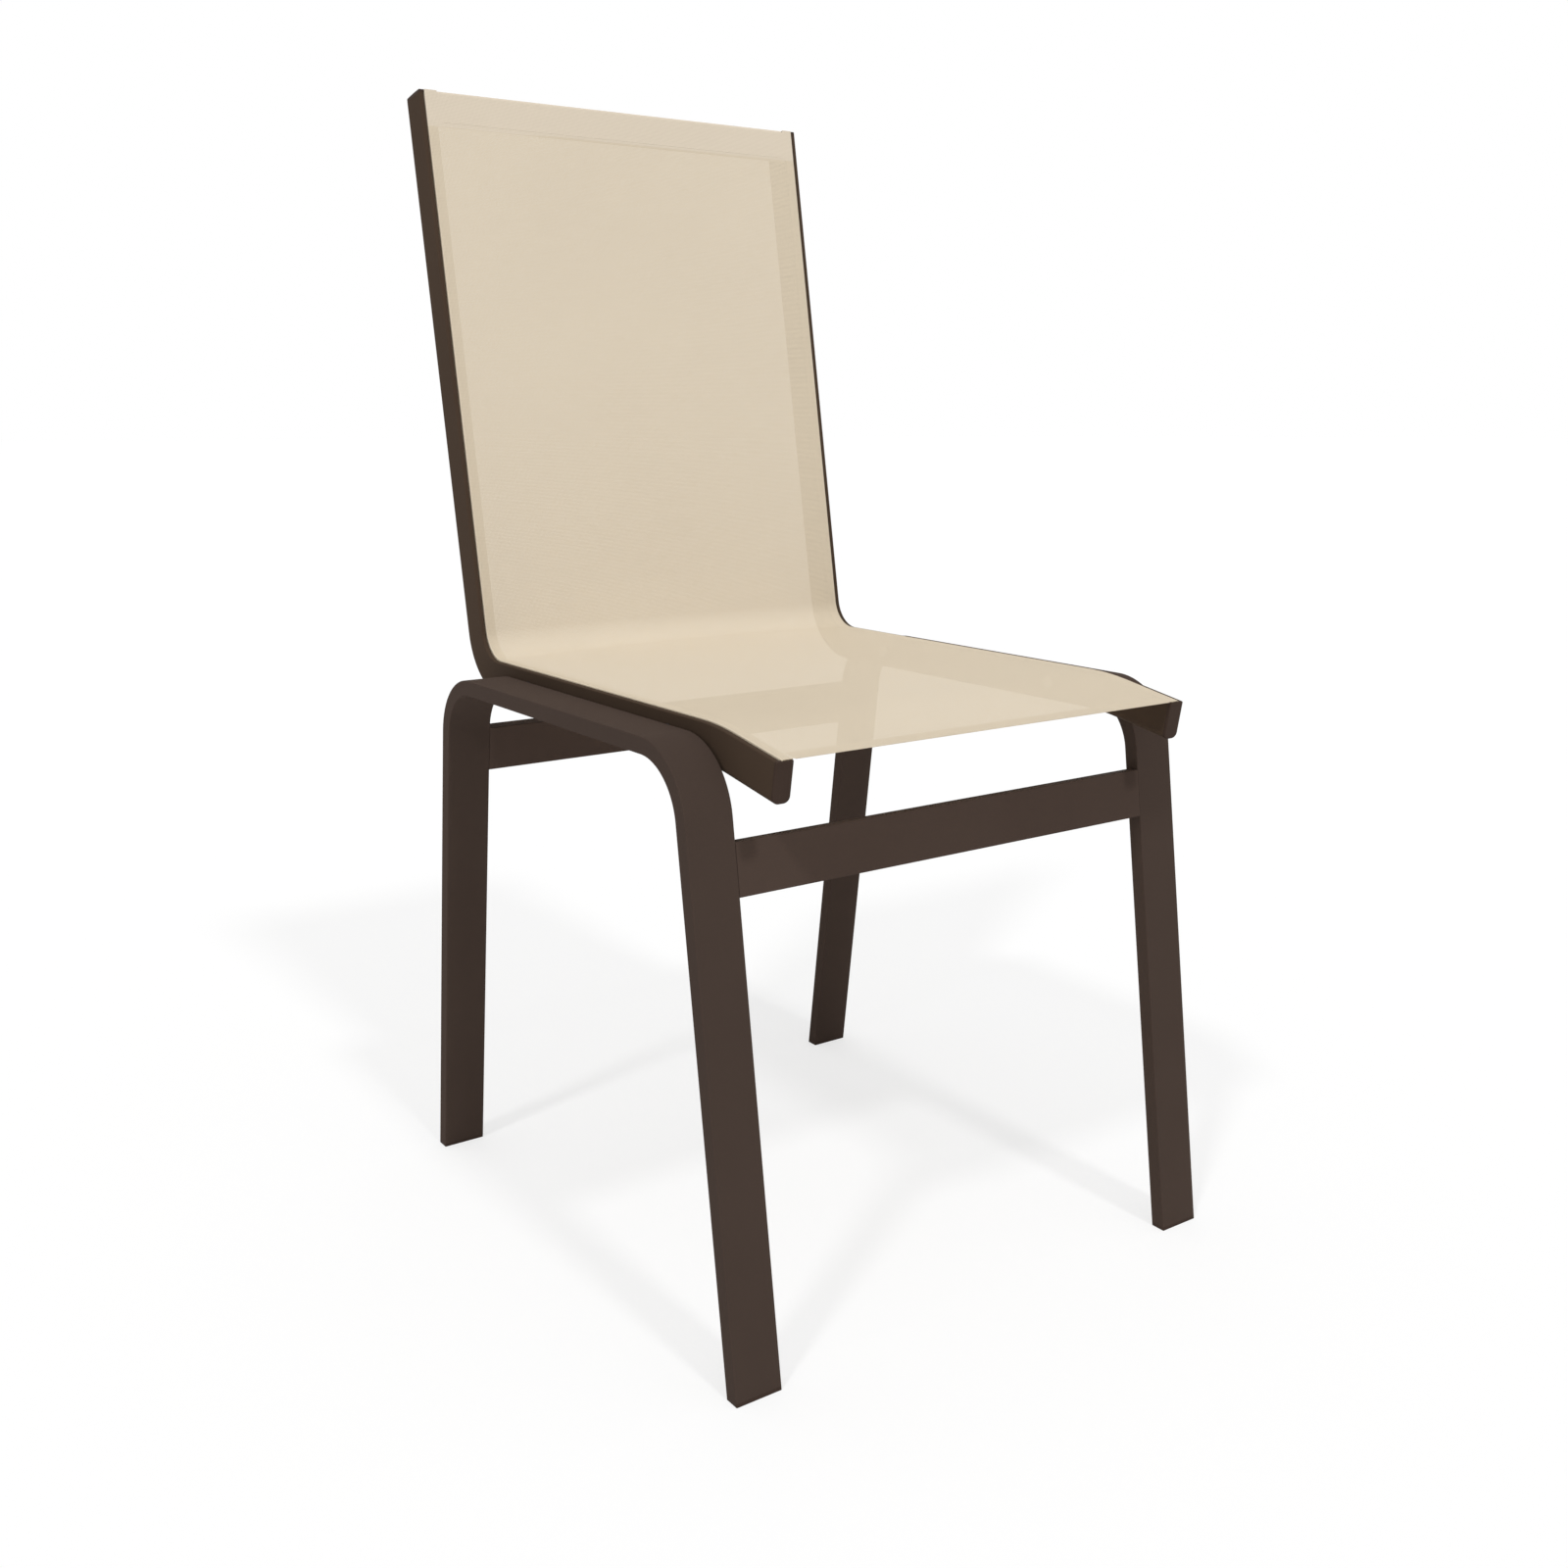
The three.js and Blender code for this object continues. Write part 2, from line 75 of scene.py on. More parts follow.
# %% A route of straights and bends
BEND_STEP_DEGREES, BEND_STEP = 15, 3
ROUNDING, HAIR = 0.01, 1e-6


def ahead(heading):
    return Vector((math.cos(heading), math.sin(heading)))


def right_of(heading):
    return Vector((math.sin(heading), -math.cos(heading)))


def share_out(size, turn):
    """How many steps a bend needs: one for each 15 degrees, and one for each 3 mm of its length."""
    by_angle = math.ceil(abs(math.degrees(turn)) / BEND_STEP_DEGREES - ROUNDING)
    return max(by_angle, math.ceil(size * abs(turn) / BEND_STEP))


class Route:
    def __init__(self, start, heading, moves):
        self.moves = []
        place, heading, done = Vector(start), math.radians(heading), 0.0
        for size, degrees in moves:
            turn = math.radians(degrees)
            side = math.copysign(size, turn)
            centre = place + side * right_of(heading)
            self.moves.append((done, place, heading, size, turn, centre))
            if turn:
                heading -= turn
                place = centre - side * right_of(heading)
                done += size * abs(turn)
            else:
                place = place + size * ahead(heading)
                done += size
        self.length = done

    def at(self, distance):
        """The place and the heading at a distance along the route."""
        begun = [move for move in self.moves if move[0] <= distance + HAIR]
        done, place, heading, size, turn, centre = begun[-1]
        if not turn or not size:
            return place + (distance - done) * ahead(heading), heading
        heading -= math.copysign((distance - done) / size, turn)
        return centre - math.copysign(size, turn) * right_of(heading), heading

    def stops(self, longest):
        """Distances to stop at: evenly along each straight, and at each step of a bend."""
        found = [0.0]
        for done, _, _, size, turn, _ in self.moves:
            steps = share_out(size, turn) if turn else math.ceil(size / longest)
            reach = size * abs(turn) if turn else size
            found += [done + reach * step / steps for step in range(1, steps + 1) if size]
        return found


# %% [markdown]
# ## From a route to a solid
#
# A section can be drawn by a single vertex. The extrude operator pushes it along the straights, and the
# spin operator swings it round the bends, so the mesh tools do the drawing. Filling the closed outline gives
# a flat face. The same two operators then carry that face along a second route, which is what a tube
# bender or an extrusion press does.

# %% Draw a section and sweep it
SAME_PLACE = 0.01
SWEEP_FINENESS = 2


def of_kind(found, kind):
    return [part for part in found if isinstance(part, kind)]


def once_each(found):
    """Each thing once, in the order found. A set would change the order from run to run."""
    return list(dict.fromkeys(found))


def with_edges(faces):
    """Faces with their edges and corners, which is what the extrude and spin operators want."""
    edges = once_each(edge for face in faces for edge in face.edges)
    corners = once_each(vertex for face in faces for vertex in face.verts)
    return [*faces, *edges, *corners]


def in_order(mesh):
    """Sort a mesh by place, since the extrude operator gives what it makes another order on each run."""
    def sort(parts, key):
        rank = {part: number for number, part in enumerate(sorted(parts, key=key))}
        parts.sort(key=lambda part: rank[part])
        parts.index_update()

    sort(mesh.verts, lambda vertex: vertex.co[:])
    for parts in (mesh.edges, mesh.faces):
        sort(parts, lambda part: sorted(vertex.index for vertex in part.verts))


def draw(mesh, route):
    """Draw one outline with a vertex that is extruded along straights and spun round bends."""
    pen = mesh.verts.new((*route.moves[0][1], 0))
    for _, _, heading, size, turn, centre in route.moves:
        if turn and size:
            spun = bmesh.ops.spin(
                mesh, geom=[pen], cent=(*centre, 0), axis=(0, 0, 1), angle=-turn, steps=share_out(size, turn)
            )
            pen = of_kind(spun["geom_last"], bmesh.types.BMVert)[0]
        elif size:
            pen = bmesh.ops.extrude_vert_indiv(mesh, verts=[pen])["verts"][0]
            bmesh.ops.translate(mesh, verts=[pen], vec=(*(size * ahead(heading)), 0))


def section(*outlines):
    """A flat face bounded by the first outline, with the others as holes."""
    mesh = bmesh.new()
    for outline in outlines:
        draw(mesh, outline)
    bmesh.ops.remove_doubles(mesh, verts=mesh.verts, dist=SAME_PLACE)
    bmesh.ops.triangle_fill(mesh, edges=mesh.edges, use_beauty=True)
    return mesh


def across(place, heading):
    """Stands a section across a route in the side view: its x is X, and its y points to the route's right."""
    side, on = right_of(heading), ahead(heading)
    return Matrix(((1, 0, 0, 0), (0, side.x, on.x, place.x), (0, side.y, on.y, place.y), (0, 0, 0, 1)))


def push(mesh, faces, step):
    """Extrude faces by a step and return the faces at the far end."""
    moved = bmesh.ops.extrude_face_region(mesh, geom=with_edges(faces))["geom"]
    bmesh.ops.translate(mesh, verts=of_kind(moved, bmesh.types.BMVert), vec=step)
    return of_kind(moved, bmesh.types.BMFace)


def sweep(mesh, route):
    """Carry a section along a route in the side view, which is drawn in Y and Z."""
    _, place, heading, *_ = route.moves[0]
    bmesh.ops.transform(mesh, verts=mesh.verts, matrix=across(place, heading))
    front = list(mesh.faces)
    for _, _, heading, size, turn, centre in route.moves:
        if turn:
            spun = bmesh.ops.spin(
                mesh, geom=with_edges(front), cent=(0, *centre), axis=(1, 0, 0), angle=-turn,
                steps=SWEEP_FINENESS * share_out(size, turn),
            )
            front = of_kind(spun["geom_last"], bmesh.types.BMFace)
        else:
            front = push(mesh, front, (0, *(size * ahead(heading))))
    return front


def rounded(width, height, low, high=None, corner=None):
    """A box outline with its own corner radii below and above, in the middle or from a lower left corner."""
    high = low if high is None else high
    x, y = corner or (-width / 2, -height / 2)
    foot, head, side = width - 2 * low, width - 2 * high, height - low - high
    lower, upper = (low, -90), (high, -90)
    return Route((x + low, y), 0, [(foot, 0), lower, (side, 0), upper, (head, 0), upper, (side, 0), lower])


# %% [markdown]
# ## Finishing a piece
#
# A swept mesh still lies in millimetres and may face inwards. One helper moves it, scales it, turns its
# faces outwards and makes the object. It also hides the CAD solids that the piece stands for, lists it under
# the finish it takes and hangs it on the chair's only body. A mirrored copy gives the other side of the
# chair, since the real halves are mirror images.

# %% Turn a mesh into a piece of the chair
SMOOTH_BELOW = math.radians(35)
WELD = 0.002
pieces = {}


def piece(mesh, name, slot, *nodes, closed=True):
    """Make an object from a drawn mesh and put it in the place of the CAD nodes."""
    in_order(mesh)
    bmesh.ops.remove_doubles(mesh, verts=mesh.verts, dist=WELD)
    if closed:
        bmesh.ops.recalc_face_normals(mesh, faces=mesh.faces)
    bmesh.ops.translate(mesh, verts=mesh.verts, vec=(0, front_of_foot, 0))
    bmesh.ops.scale(mesh, verts=mesh.verts, vec=(MM, MM, MM))
    open_edges = sum(not edge.is_manifold for edge in mesh.edges)
    data = bpy.data.meshes.new(name)
    mesh.to_mesh(data)
    mesh.free()
    data.shade_smooth()
    data.set_sharp_from_angle(angle=SMOOTH_BELOW)
    made = bpy.data.objects.new(name, data)
    bpy.context.collection.objects.link(made)
    even = made.modifiers.new("even flats", "WEIGHTED_NORMAL")
    even.keep_sharp = True
    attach(made, "root")
    if nodes:
        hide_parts(*nodes)
    pieces.setdefault(slot, []).append(made)
    print(f"{name}: {len(data.polygons)} faces, {open_edges} open edges")
    return made


def both_sides(mesh, name, slot, node):
    """The sitter's left piece as drawn, and a mirrored copy for the right."""
    mirrored = mesh.copy()
    bmesh.ops.scale(mirrored, verts=mirrored.verts, vec=(-1, 1, 1))
    left = piece(mesh, f"left_{name}", slot, f"left_{node}")
    right = piece(mirrored, f"right_{name}", slot, f"right_{node}")
    return left, right


# %% [markdown]
# ## Leg frames
#
# Each leg frame is one flat tube bent twice into an upside-down U with legs that lean together. It could be
# a box with bent ends, but only a swept hollow section has even corners all the way round the bends. The
# sweep starts below the floor, and a level cut then trims both feet, just as the saw does after bending.

# %% Bend the leg frames
HALF_WIDTH = 238
TUBE_WIDTH, TUBE_THICKNESS, TUBE_WALL, TUBE_CORNER = 39, 13, 1.6, 0.8
LEG_HEIGHT, FOOT_SPACING, LEAN = 464.1, 506, 7.9
INSIDE_OF_BEND = 46.6
BELOW_FLOOR = 20
FOOT_PLATE = 3
HAIRLINE = 0.05

bend = INSIDE_OF_BEND + TUBE_THICKNESS / 2
tangent = math.tan(math.radians(LEAN))
cosine = math.cos(math.radians(LEAN))
run_height = LEG_HEIGHT - TUBE_THICKNESS / 2
leg_inner = HALF_WIDTH - TUBE_WIDTH
leg_middle = HALF_WIDTH - TUBE_WIDTH / 2
bend_reach = bend * math.tan(math.radians(90 - LEAN) / 2)


def leg_line(end, height):
    """The middle of a leg in the side view, at a height above the floor."""
    set_back = TUBE_THICKNESS / 2 / cosine
    lean = tangent * height
    return Vector((set_back + lean if end == "front" else FOOT_SPACING + set_back - lean, height))


upright = (run_height + BELOW_FLOOR) / cosine - bend_reach
top_run = FOOT_SPACING - 2 * tangent * run_height - 2 * bend_reach
bent_leg = [(upright, 0), (bend, 90 - LEAN), (top_run, 0), (bend, 90 - LEAN), (upright, 0)]
leg_route = Route(leg_line("front", -BELOW_FLOOR), 90 - LEAN, bent_leg)


def tube_section(middle=0):
    """The flat tube's wall, with its width along x."""
    bore = 2 * TUBE_WALL
    wall = section(
        rounded(TUBE_WIDTH, TUBE_THICKNESS, TUBE_CORNER),
        rounded(TUBE_WIDTH - bore, TUBE_THICKNESS - bore, TUBE_CORNER / 2),
    )
    bmesh.ops.translate(wall, verts=wall.verts, vec=(middle, 0, 0))
    return wall


def cut_level(mesh, height, keep_above):
    """Cut a mesh at a height, throw one side away and return the edges of the cut."""
    cut = bmesh.ops.bisect_plane(
        mesh, geom=mesh.verts[:] + mesh.edges[:] + mesh.faces[:], plane_co=(0, 0, height), plane_no=(0, 0, 1),
        clear_inner=keep_above, clear_outer=not keep_above,
    )
    return of_kind(cut["geom_cut"], bmesh.types.BMEdge)


leg = tube_section(leg_middle)
sweep(leg, leg_route)
in_order(leg)
rims = cut_level(leg, FOOT_PLATE + HAIRLINE, keep_above=True)
bmesh.ops.triangle_fill(leg, edges=rims, use_beauty=True)
legs = both_sides(leg, "leg_tube", "powder_coat", "leg_frame")

# %% [markdown]
# ## Cross tubes
#
# Two straight lengths of the same flat tube join the leg frames, flush with the front of the front legs and
# the back of the rear legs, and leaning with them. A stretched box would do for the flat faces. The real
# corners are rounded, though, and the round edge of the leg leaves a fine groove at each joint, so the
# tube's own section is used again.

# %% Join the legs
BELOW_LEG_TOPS = {"front": 89.5, "rear": 70.3}


def along_leg(end, height):
    """Stands an outline in the side view, its x up the leg and its y across it, and faces it along X."""
    place, heading = leg_line(end, height), math.radians(90 - LEAN if end == "front" else 90 + LEAN)
    on, side = ahead(heading), right_of(heading)
    return Matrix(((0, 0, -1, 0), (on.x, side.x, 0, place.x), (on.y, side.y, 0, place.y), (0, 0, 0, 1)))


cross_tubes = []
for end, drop in BELOW_LEG_TOPS.items():
    cross_tube = tube_section()
    bmesh.ops.transform(cross_tube, verts=cross_tube.verts, matrix=along_leg(end, LEG_HEIGHT - drop))
    bmesh.ops.translate(cross_tube, verts=cross_tube.verts, vec=(-leg_inner, 0, 0))
    push(cross_tube, list(cross_tube.faces), (2 * leg_inner, 0, 0))
    cross_tubes.append(piece(cross_tube, f"{end}_cross_tube", "powder_coat", f"{end}_stretcher"))

# %% [markdown]
# ## Sling rails
#
# The rails are bent aluminium extrusions. A round channel runs along the top face, open through a narrow
# slot, and it holds the cord in the sling's edge. Below it is a closed chamber. The whole section, with its
# slot and chamber, is drawn once and bent twice, so the slot stays even round the seat's corner.

# %% Bend the rails
RAIL_WIDTH, RAIL_DEPTH, RAIL_WALL = 14.3, 31, 1.6
RAIL_TOP_CORNER, RAIL_BOTTOM_CORNER = 1.2, 5.0
BACK, SEAT, TIP, TIP_SETBACK = 487.6, 373.7, 78.8, 85.7
CHANNEL, CHANNEL_COVER, SLOT, SLOT_LIP = 3.4, 1.5, 2.4, 0.35
SEAT_BEND, TIP_BEND, RECLINE, TIP_DROP = 29, 240, 9.75, 9.7
CAP_PLATE = 2.5
RAIL_GAP, ABOVE_SCREWS = 2.5, 15

rail_outer = leg_inner - RAIL_GAP
rail_inner = rail_outer - RAIL_WIDTH
channel_depth = CHANNEL_COVER + CHANNEL
slot_x = rail_outer - channel_depth
seat_corner = Vector((TIP_SETBACK + SEAT, run_height + ABOVE_SCREWS))
back_heading = -90 - RECLINE
rail_start = seat_corner - BACK * ahead(math.radians(back_heading))
corner_reach = SEAT_BEND * math.tan(math.radians(90 - RECLINE) / 2)
tip_reach = TIP_BEND * math.tan(math.radians(TIP_DROP) / 2)
back_run, seat_run, tip_run = BACK - corner_reach, SEAT - corner_reach - tip_reach, TIP - tip_reach


def rail_route(trim=0):
    """The run of a rail's top face, shortened at both ends by a trim."""
    start = rail_start + trim * ahead(math.radians(back_heading))
    bends = [(SEAT_BEND, 90 - RECLINE), (seat_run, 0), (TIP_BEND, -TIP_DROP)]
    return Route(start, back_heading, [(back_run - trim, 0), *bends, (tip_run - trim, 0)])


def rail_outlines():
    """The rail's outside with its slot and channel, and the chamber."""
    mouth = math.degrees(math.acos(SLOT / 2 / CHANNEL))
    lip_depth = channel_depth - math.sqrt(CHANNEL**2 - SLOT**2 / 4)
    top, bottom = RAIL_TOP_CORNER, RAIL_BOTTOM_CORNER
    side = RAIL_DEPTH - top - bottom
    inner_land = slot_x - SLOT / 2 - rail_inner - top - SLOT_LIP
    outer_land = rail_outer - slot_x - SLOT / 2 - top - SLOT_LIP
    outside = [
        (inner_land, 0), (top, -90), (side, 0), (bottom, -90), (RAIL_WIDTH - 2 * bottom, 0), (bottom, -90),
        (side, 0), (top, -90), (outer_land, 0), (SLOT_LIP, -90), (lip_depth - SLOT_LIP, 0), (0, -mouth),
        (CHANNEL, 180 + 2 * mouth), (0, -mouth), (lip_depth - SLOT_LIP, 0), (SLOT_LIP, -90),
    ]
    shelf = CHANNEL + channel_depth
    shoulder = slot_x - CHANNEL - rail_inner - 2 * RAIL_WALL
    within = bottom - RAIL_WALL
    wide, deep = RAIL_WIDTH - 2 * RAIL_WALL, RAIL_DEPTH - 2 * RAIL_WALL - within
    chamber = [
        (wide - 2 * within, 0), (within, -90), (deep - shelf, 0), (0, -90), (wide - shoulder, 0), (0, 90),
        (shelf, 0), (0, -90), (shoulder, 0), (0, -90), (deep, 0), (within, -90),
    ]
    return (
        Route((slot_x - SLOT / 2 - SLOT_LIP, 0), 180, outside),
        Route((rail_inner + bottom, RAIL_WALL - RAIL_DEPTH), 0, chamber),
    )


rail = section(*rail_outlines())
sweep(rail, rail_route(CAP_PLATE + HAIRLINE))
rails = both_sides(rail, "rail_extrusion", "powder_coat", "sling_rail")

# %% [markdown]
# ## End caps and feet
#
# Moulded caps close the rails and the legs: a plate that shows, and a plug that grips inside. The plate of
# a top cap is barely domed, and its soft rim runs into the rail's corners. A cap could be a box with bevels,
# but its outline has to match the tube that it closes, so it is drawn from the tube's own corners and raised
# from its rim, then the rim is bevelled.

# %% Cap the rails
def raise_rim(mesh, edges, step):
    """Extrude a closed rim and return its far edges."""
    moved = bmesh.ops.extrude_edge_only(mesh, edges=edges)["geom"]
    bmesh.ops.translate(mesh, verts=of_kind(moved, bmesh.types.BMVert), vec=step)
    return of_kind(moved, bmesh.types.BMEdge)


def cover(mesh, edges):
    bmesh.ops.edgeloop_fill(mesh, edges=edges)


def soften(mesh, edges, radius, segments=3):
    bmesh.ops.bevel(
        mesh, geom=edges, offset=radius, offset_type="OFFSET", segments=segments, profile=0.5, affect="EDGES",
        material=-1, clamp_overlap=True,
    )


def outer_first(mesh):
    """The rim edges of a ring-shaped face, sorted into the outer outline and the inner one."""
    loops, left_over = [], [edge for edge in mesh.edges if edge.is_boundary]
    while left_over:
        loop, grow = [], [left_over.pop()]
        while grow:
            edge = grow.pop()
            loop.append(edge)
            beside = once_each(other for vertex in edge.verts for other in vertex.link_edges)
            near = [other for other in beside if other in left_over]
            left_over = [other for other in left_over if other not in near]
            grow += near
        loops.append(loop)
    return sorted(loops, key=lambda loop: -sum(edge.calc_length() for edge in loop))


CAP_PLUG, PLUG_PLAY, PLUG_RIM = 12, 0.3, 0.6
CROWN, CROWN_STEPS, CAP_RIM = 0.5, 14, 1.0
plug_gap = RAIL_WALL + PLUG_PLAY


def rail_cap(crown):
    """A cap drawn across the rail's end, its plug at negative z and its face at positive z."""
    plate = rounded(RAIL_WIDTH, RAIL_DEPTH, RAIL_BOTTOM_CORNER, RAIL_TOP_CORNER, (rail_inner, -RAIL_DEPTH))
    plug_width = RAIL_WIDTH - 2 * plug_gap
    plug_depth = RAIL_DEPTH - channel_depth - CHANNEL - 2 * plug_gap
    corner = (rail_inner + plug_gap, plug_gap - RAIL_DEPTH)
    plug = rounded(plug_width, plug_depth, RAIL_BOTTOM_CORNER - plug_gap, plug_gap / 2, corner)
    mesh = section(plate, plug)
    bmesh.ops.translate(mesh, verts=mesh.verts, vec=(0, 0, -CAP_PLATE))
    outside, inside = outer_first(mesh)
    tail = raise_rim(mesh, inside, (0, 0, -CAP_PLUG))
    cover(mesh, tail)
    soften(mesh, tail, PLUG_RIM, 2)
    rim = raise_rim(mesh, outside, (0, 0, CAP_PLATE))
    cover(mesh, rim)
    if crown:
        for step in range(1, CROWN_STEPS):
            flat = [face for face in mesh.faces if abs(face.calc_center_median().z) < SAME_PLACE]
            cut = (0, -RAIL_DEPTH * step / CROWN_STEPS, 0)
            bmesh.ops.bisect_plane(mesh, geom=with_edges(flat), plane_co=cut, plane_no=(0, 1, 0))
        for vertex in mesh.verts:
            if abs(vertex.co.z) < SAME_PLACE:
                off_middle = 2 * vertex.co.y / RAIL_DEPTH + 1
                vertex.co.z = crown * math.sqrt(max(0, 1 - off_middle**2))
        domed = [face for face in mesh.faces if all(vertex.co.z > -SAME_PLACE for vertex in face.verts)]
        rim = [edge for edge in mesh.edges if sum(face in domed for face in edge.link_faces) == 1]
    soften(mesh, rim, CAP_RIM, 4)
    return mesh


whole_rail = rail_route()
ends = {"top": (rail_start, math.radians(back_heading), -1), "front": (*whole_rail.at(whole_rail.length), 1)}
for end, (place, heading, outwards) in ends.items():
    cap = rail_cap(CROWN if end == "top" else 0)
    facing = Matrix.Scale(outwards, 4, (0, 0, 1))
    bmesh.ops.transform(cap, verts=cap.verts, matrix=across(place, heading) @ facing)
    both_sides(cap, f"{end}_end_cap", "moulded_plastic", f"rail_{end}_cap")

# %% Plug the feet
FOOT_PLUG, FOOT_RIM = 22, 0.5


def leg_stub(end, inset, corner, low, high):
    """A solid length of a leg between two levels, its section set in from the tube's."""
    stub = section(rounded(TUBE_WIDTH - 2 * inset, TUBE_THICKNESS - 2 * inset, corner))
    bmesh.ops.translate(stub, verts=stub.verts, vec=(leg_middle, 0, 0))
    heading = 90 - LEAN if end == "front" else 90 + LEAN
    sweep(stub, Route(leg_line(end, -BELOW_FLOOR), heading, [(3 * BELOW_FLOOR, 0)]))
    in_order(stub)
    top = cut_level(stub, high, keep_above=False)
    bottom = cut_level(stub, low, keep_above=True)
    return stub, top, bottom


for end in ("front", "rear"):
    foot, _, sole = leg_stub(end, 0, TUBE_CORNER, 0, FOOT_PLATE)
    cover(foot, sole)
    plug, lid, _ = leg_stub(end, plug_gap, TUBE_CORNER / 2, FOOT_PLATE, FOOT_PLATE + FOOT_PLUG)
    cover(plug, lid)
    data = bpy.data.meshes.new("plug")
    plug.to_mesh(data)
    foot.from_mesh(data)
    bpy.data.meshes.remove(data)
    bmesh.ops.triangle_fill(foot, edges=[edge for edge in foot.edges if edge.is_boundary], use_beauty=True)
    on_floor = [edge for edge in foot.edges if all(abs(vertex.co.z) < SAME_PLACE for vertex in edge.verts)]
    soften(foot, on_floor, FOOT_RIM)
    both_sides(foot, f"{end}_foot_cap", "moulded_plastic", f"{end}_foot_plug")

# %% [markdown]
# ## Screws, spacers and inserts
#
# A button-head screw goes through each rail into a threaded insert in the leg frame, with a nylon spacer
# between the two. All three are turned parts. A cylinder would miss the dome of the head and the rounded
# rims, so half of each outline is drawn as a route and spun about the screw's line. The socket is a
# six-sided hole sunk into the head.

# %% Turn the fasteners
SHANK, SHANK_STRAIGHT, SHANK_CHAMFER, SHANK_FILLET = 3, 29, 0.8, 0.2
HEAD_HEIGHT, HEAD_RADIUS, HEAD_FLAT, HEAD_SIDE, HEAD_ROUND = 3.3, 5.25, 2.8, 0.75, 0.25
DOME_RADIUS, DOME_STARTS, DOME_TURN = 3.975, 71.8, 50
SOCKET_RADIUS, SOCKET_DEPTH = 2.3, 2
SCREW_PLAY, SCREW_INSET = 0.3, 30
WASHER_RADIUS, INSERT_RADIUS, INSERT_RIM = 6.2, 5.8, 1.0
WASHER_ROUND, INSERT_ROUND = 0.3, 0.25
ROUND_STEPS = 32
SAME_POINT = 0.001


def turn_round(mesh):
    """Spin a half outline, drawn with x along the axis and y as the radius, once round the X axis."""
    bmesh.ops.spin(
        mesh, geom=mesh.verts[:] + mesh.edges[:], cent=(0, 0, 0), axis=(1, 0, 0), angle=math.tau,
        steps=ROUND_STEPS, use_merge=True,
    )
    bmesh.ops.remove_doubles(mesh, verts=mesh.verts, dist=SAME_POINT)
    return mesh


def ring(radius, thickness, start, softness):
    """A ring round the screw with slightly rounded edges."""
    bore = SHANK + SCREW_PLAY
    mesh = bmesh.new()
    draw(mesh, rounded(thickness, radius - bore, softness, corner=(start, bore)))
    bmesh.ops.remove_doubles(mesh, verts=mesh.verts, dist=SAME_POINT)
    return turn_round(mesh)


def nylon_washer():
    return ring(WASHER_RADIUS, RAIL_GAP - INSERT_RIM, 0, WASHER_ROUND)


def flanged_insert():
    return ring(INSERT_RADIUS, INSERT_RIM, -INSERT_RIM, INSERT_ROUND)


def button_screw():
    """The head stands on x = 0 towards negative x, and the shank runs towards positive x."""
    mesh = bmesh.new()
    head = [(DOME_RADIUS, DOME_TURN), (0, DOME_STARTS - DOME_TURN), (HEAD_SIDE, 0), (HEAD_ROUND, 90)]
    under_head = HEAD_RADIUS - HEAD_ROUND - SHANK - SHANK_FILLET
    shank = [
        (under_head, 0), (SHANK_FILLET, -90), (SHANK_STRAIGHT, 0), (0, 45), (SHANK_CHAMFER * math.sqrt(2), 0),
        (0, 45), (SHANK - SHANK_CHAMFER, 0),
    ]
    draw(mesh, Route((-HEAD_HEIGHT, HEAD_FLAT), DOME_STARTS, head + shank))
    turn_round(mesh)
    rim = [edge for edge in mesh.edges if edge.is_boundary]
    on_head = Matrix.Translation((-HEAD_HEIGHT, 0, 0)) @ Matrix.Rotation(math.pi / 2, 4, "Y")
    socket = bmesh.ops.create_circle(mesh, segments=6, radius=SOCKET_RADIUS, matrix=on_head)["verts"]
    hexagon = once_each(edge for vertex in socket for edge in vertex.link_edges)
    bmesh.ops.triangle_fill(mesh, edges=rim + hexagon, use_beauty=True)
    cover(mesh, raise_rim(mesh, hexagon, (SOCKET_DEPTH, 0, 0)))
    return mesh


screw_y = {
    "front": leg_line("front", run_height).x + bend_reach + SCREW_INSET,
    "rear": leg_line("rear", run_height).x - bend_reach - SCREW_INSET,
}
fasteners = {
    "button_screw": ("stainless", "rail_screw", rail_inner, button_screw),
    "nylon_washer": ("spacer_nylon", "rail_spacer", rail_outer, nylon_washer),
    "flanged_insert": ("stainless", "rivet_nut", leg_inner, flanged_insert),
}
for end, y in screw_y.items():
    for name, (slot, node, x, make) in fasteners.items():
        part = make()
        bmesh.ops.translate(part, verts=part.verts, vec=(x, y, run_height))
        both_sides(part, f"{end}_{name}", slot, f"{end}_{node}")

# %% [markdown]
# ## The sling
#
# The seat and back are one piece of woven mesh. Cords in its two long edges sit in the rails' channels, the
# top is folded round a flat bar and sewn, and the front is folded under. A thin box would look alike from
# far away. Real cloth is cut flat, so the piece starts as a flat grid whose coordinates are kept as its UV
# map, in metres, and each vertex is then carried to its place. The weave follows those coordinates round
# every fold without stretching.

# %% Where the cloth goes
TOP_LAYER, LOWER_LAYER = 0.8, 0.28
BESIDE_RAIL, INTO_SLOT, LAYER_SPREAD = 1.5, 0.25, 0.3
CORD_WRAP, RETURN = 2.55, 8
SEAM, HEM_EDGE, HEM_LAP, HEM_BEND, HEM_TURN = 26.7, 30.5, 4.2, 1.5, 55.2
TOP_FOLD_RADIUS, TOP_FOLD_FLAT, INSET = 2.8, 4.0, 0.3
FRONT_HEM = 12

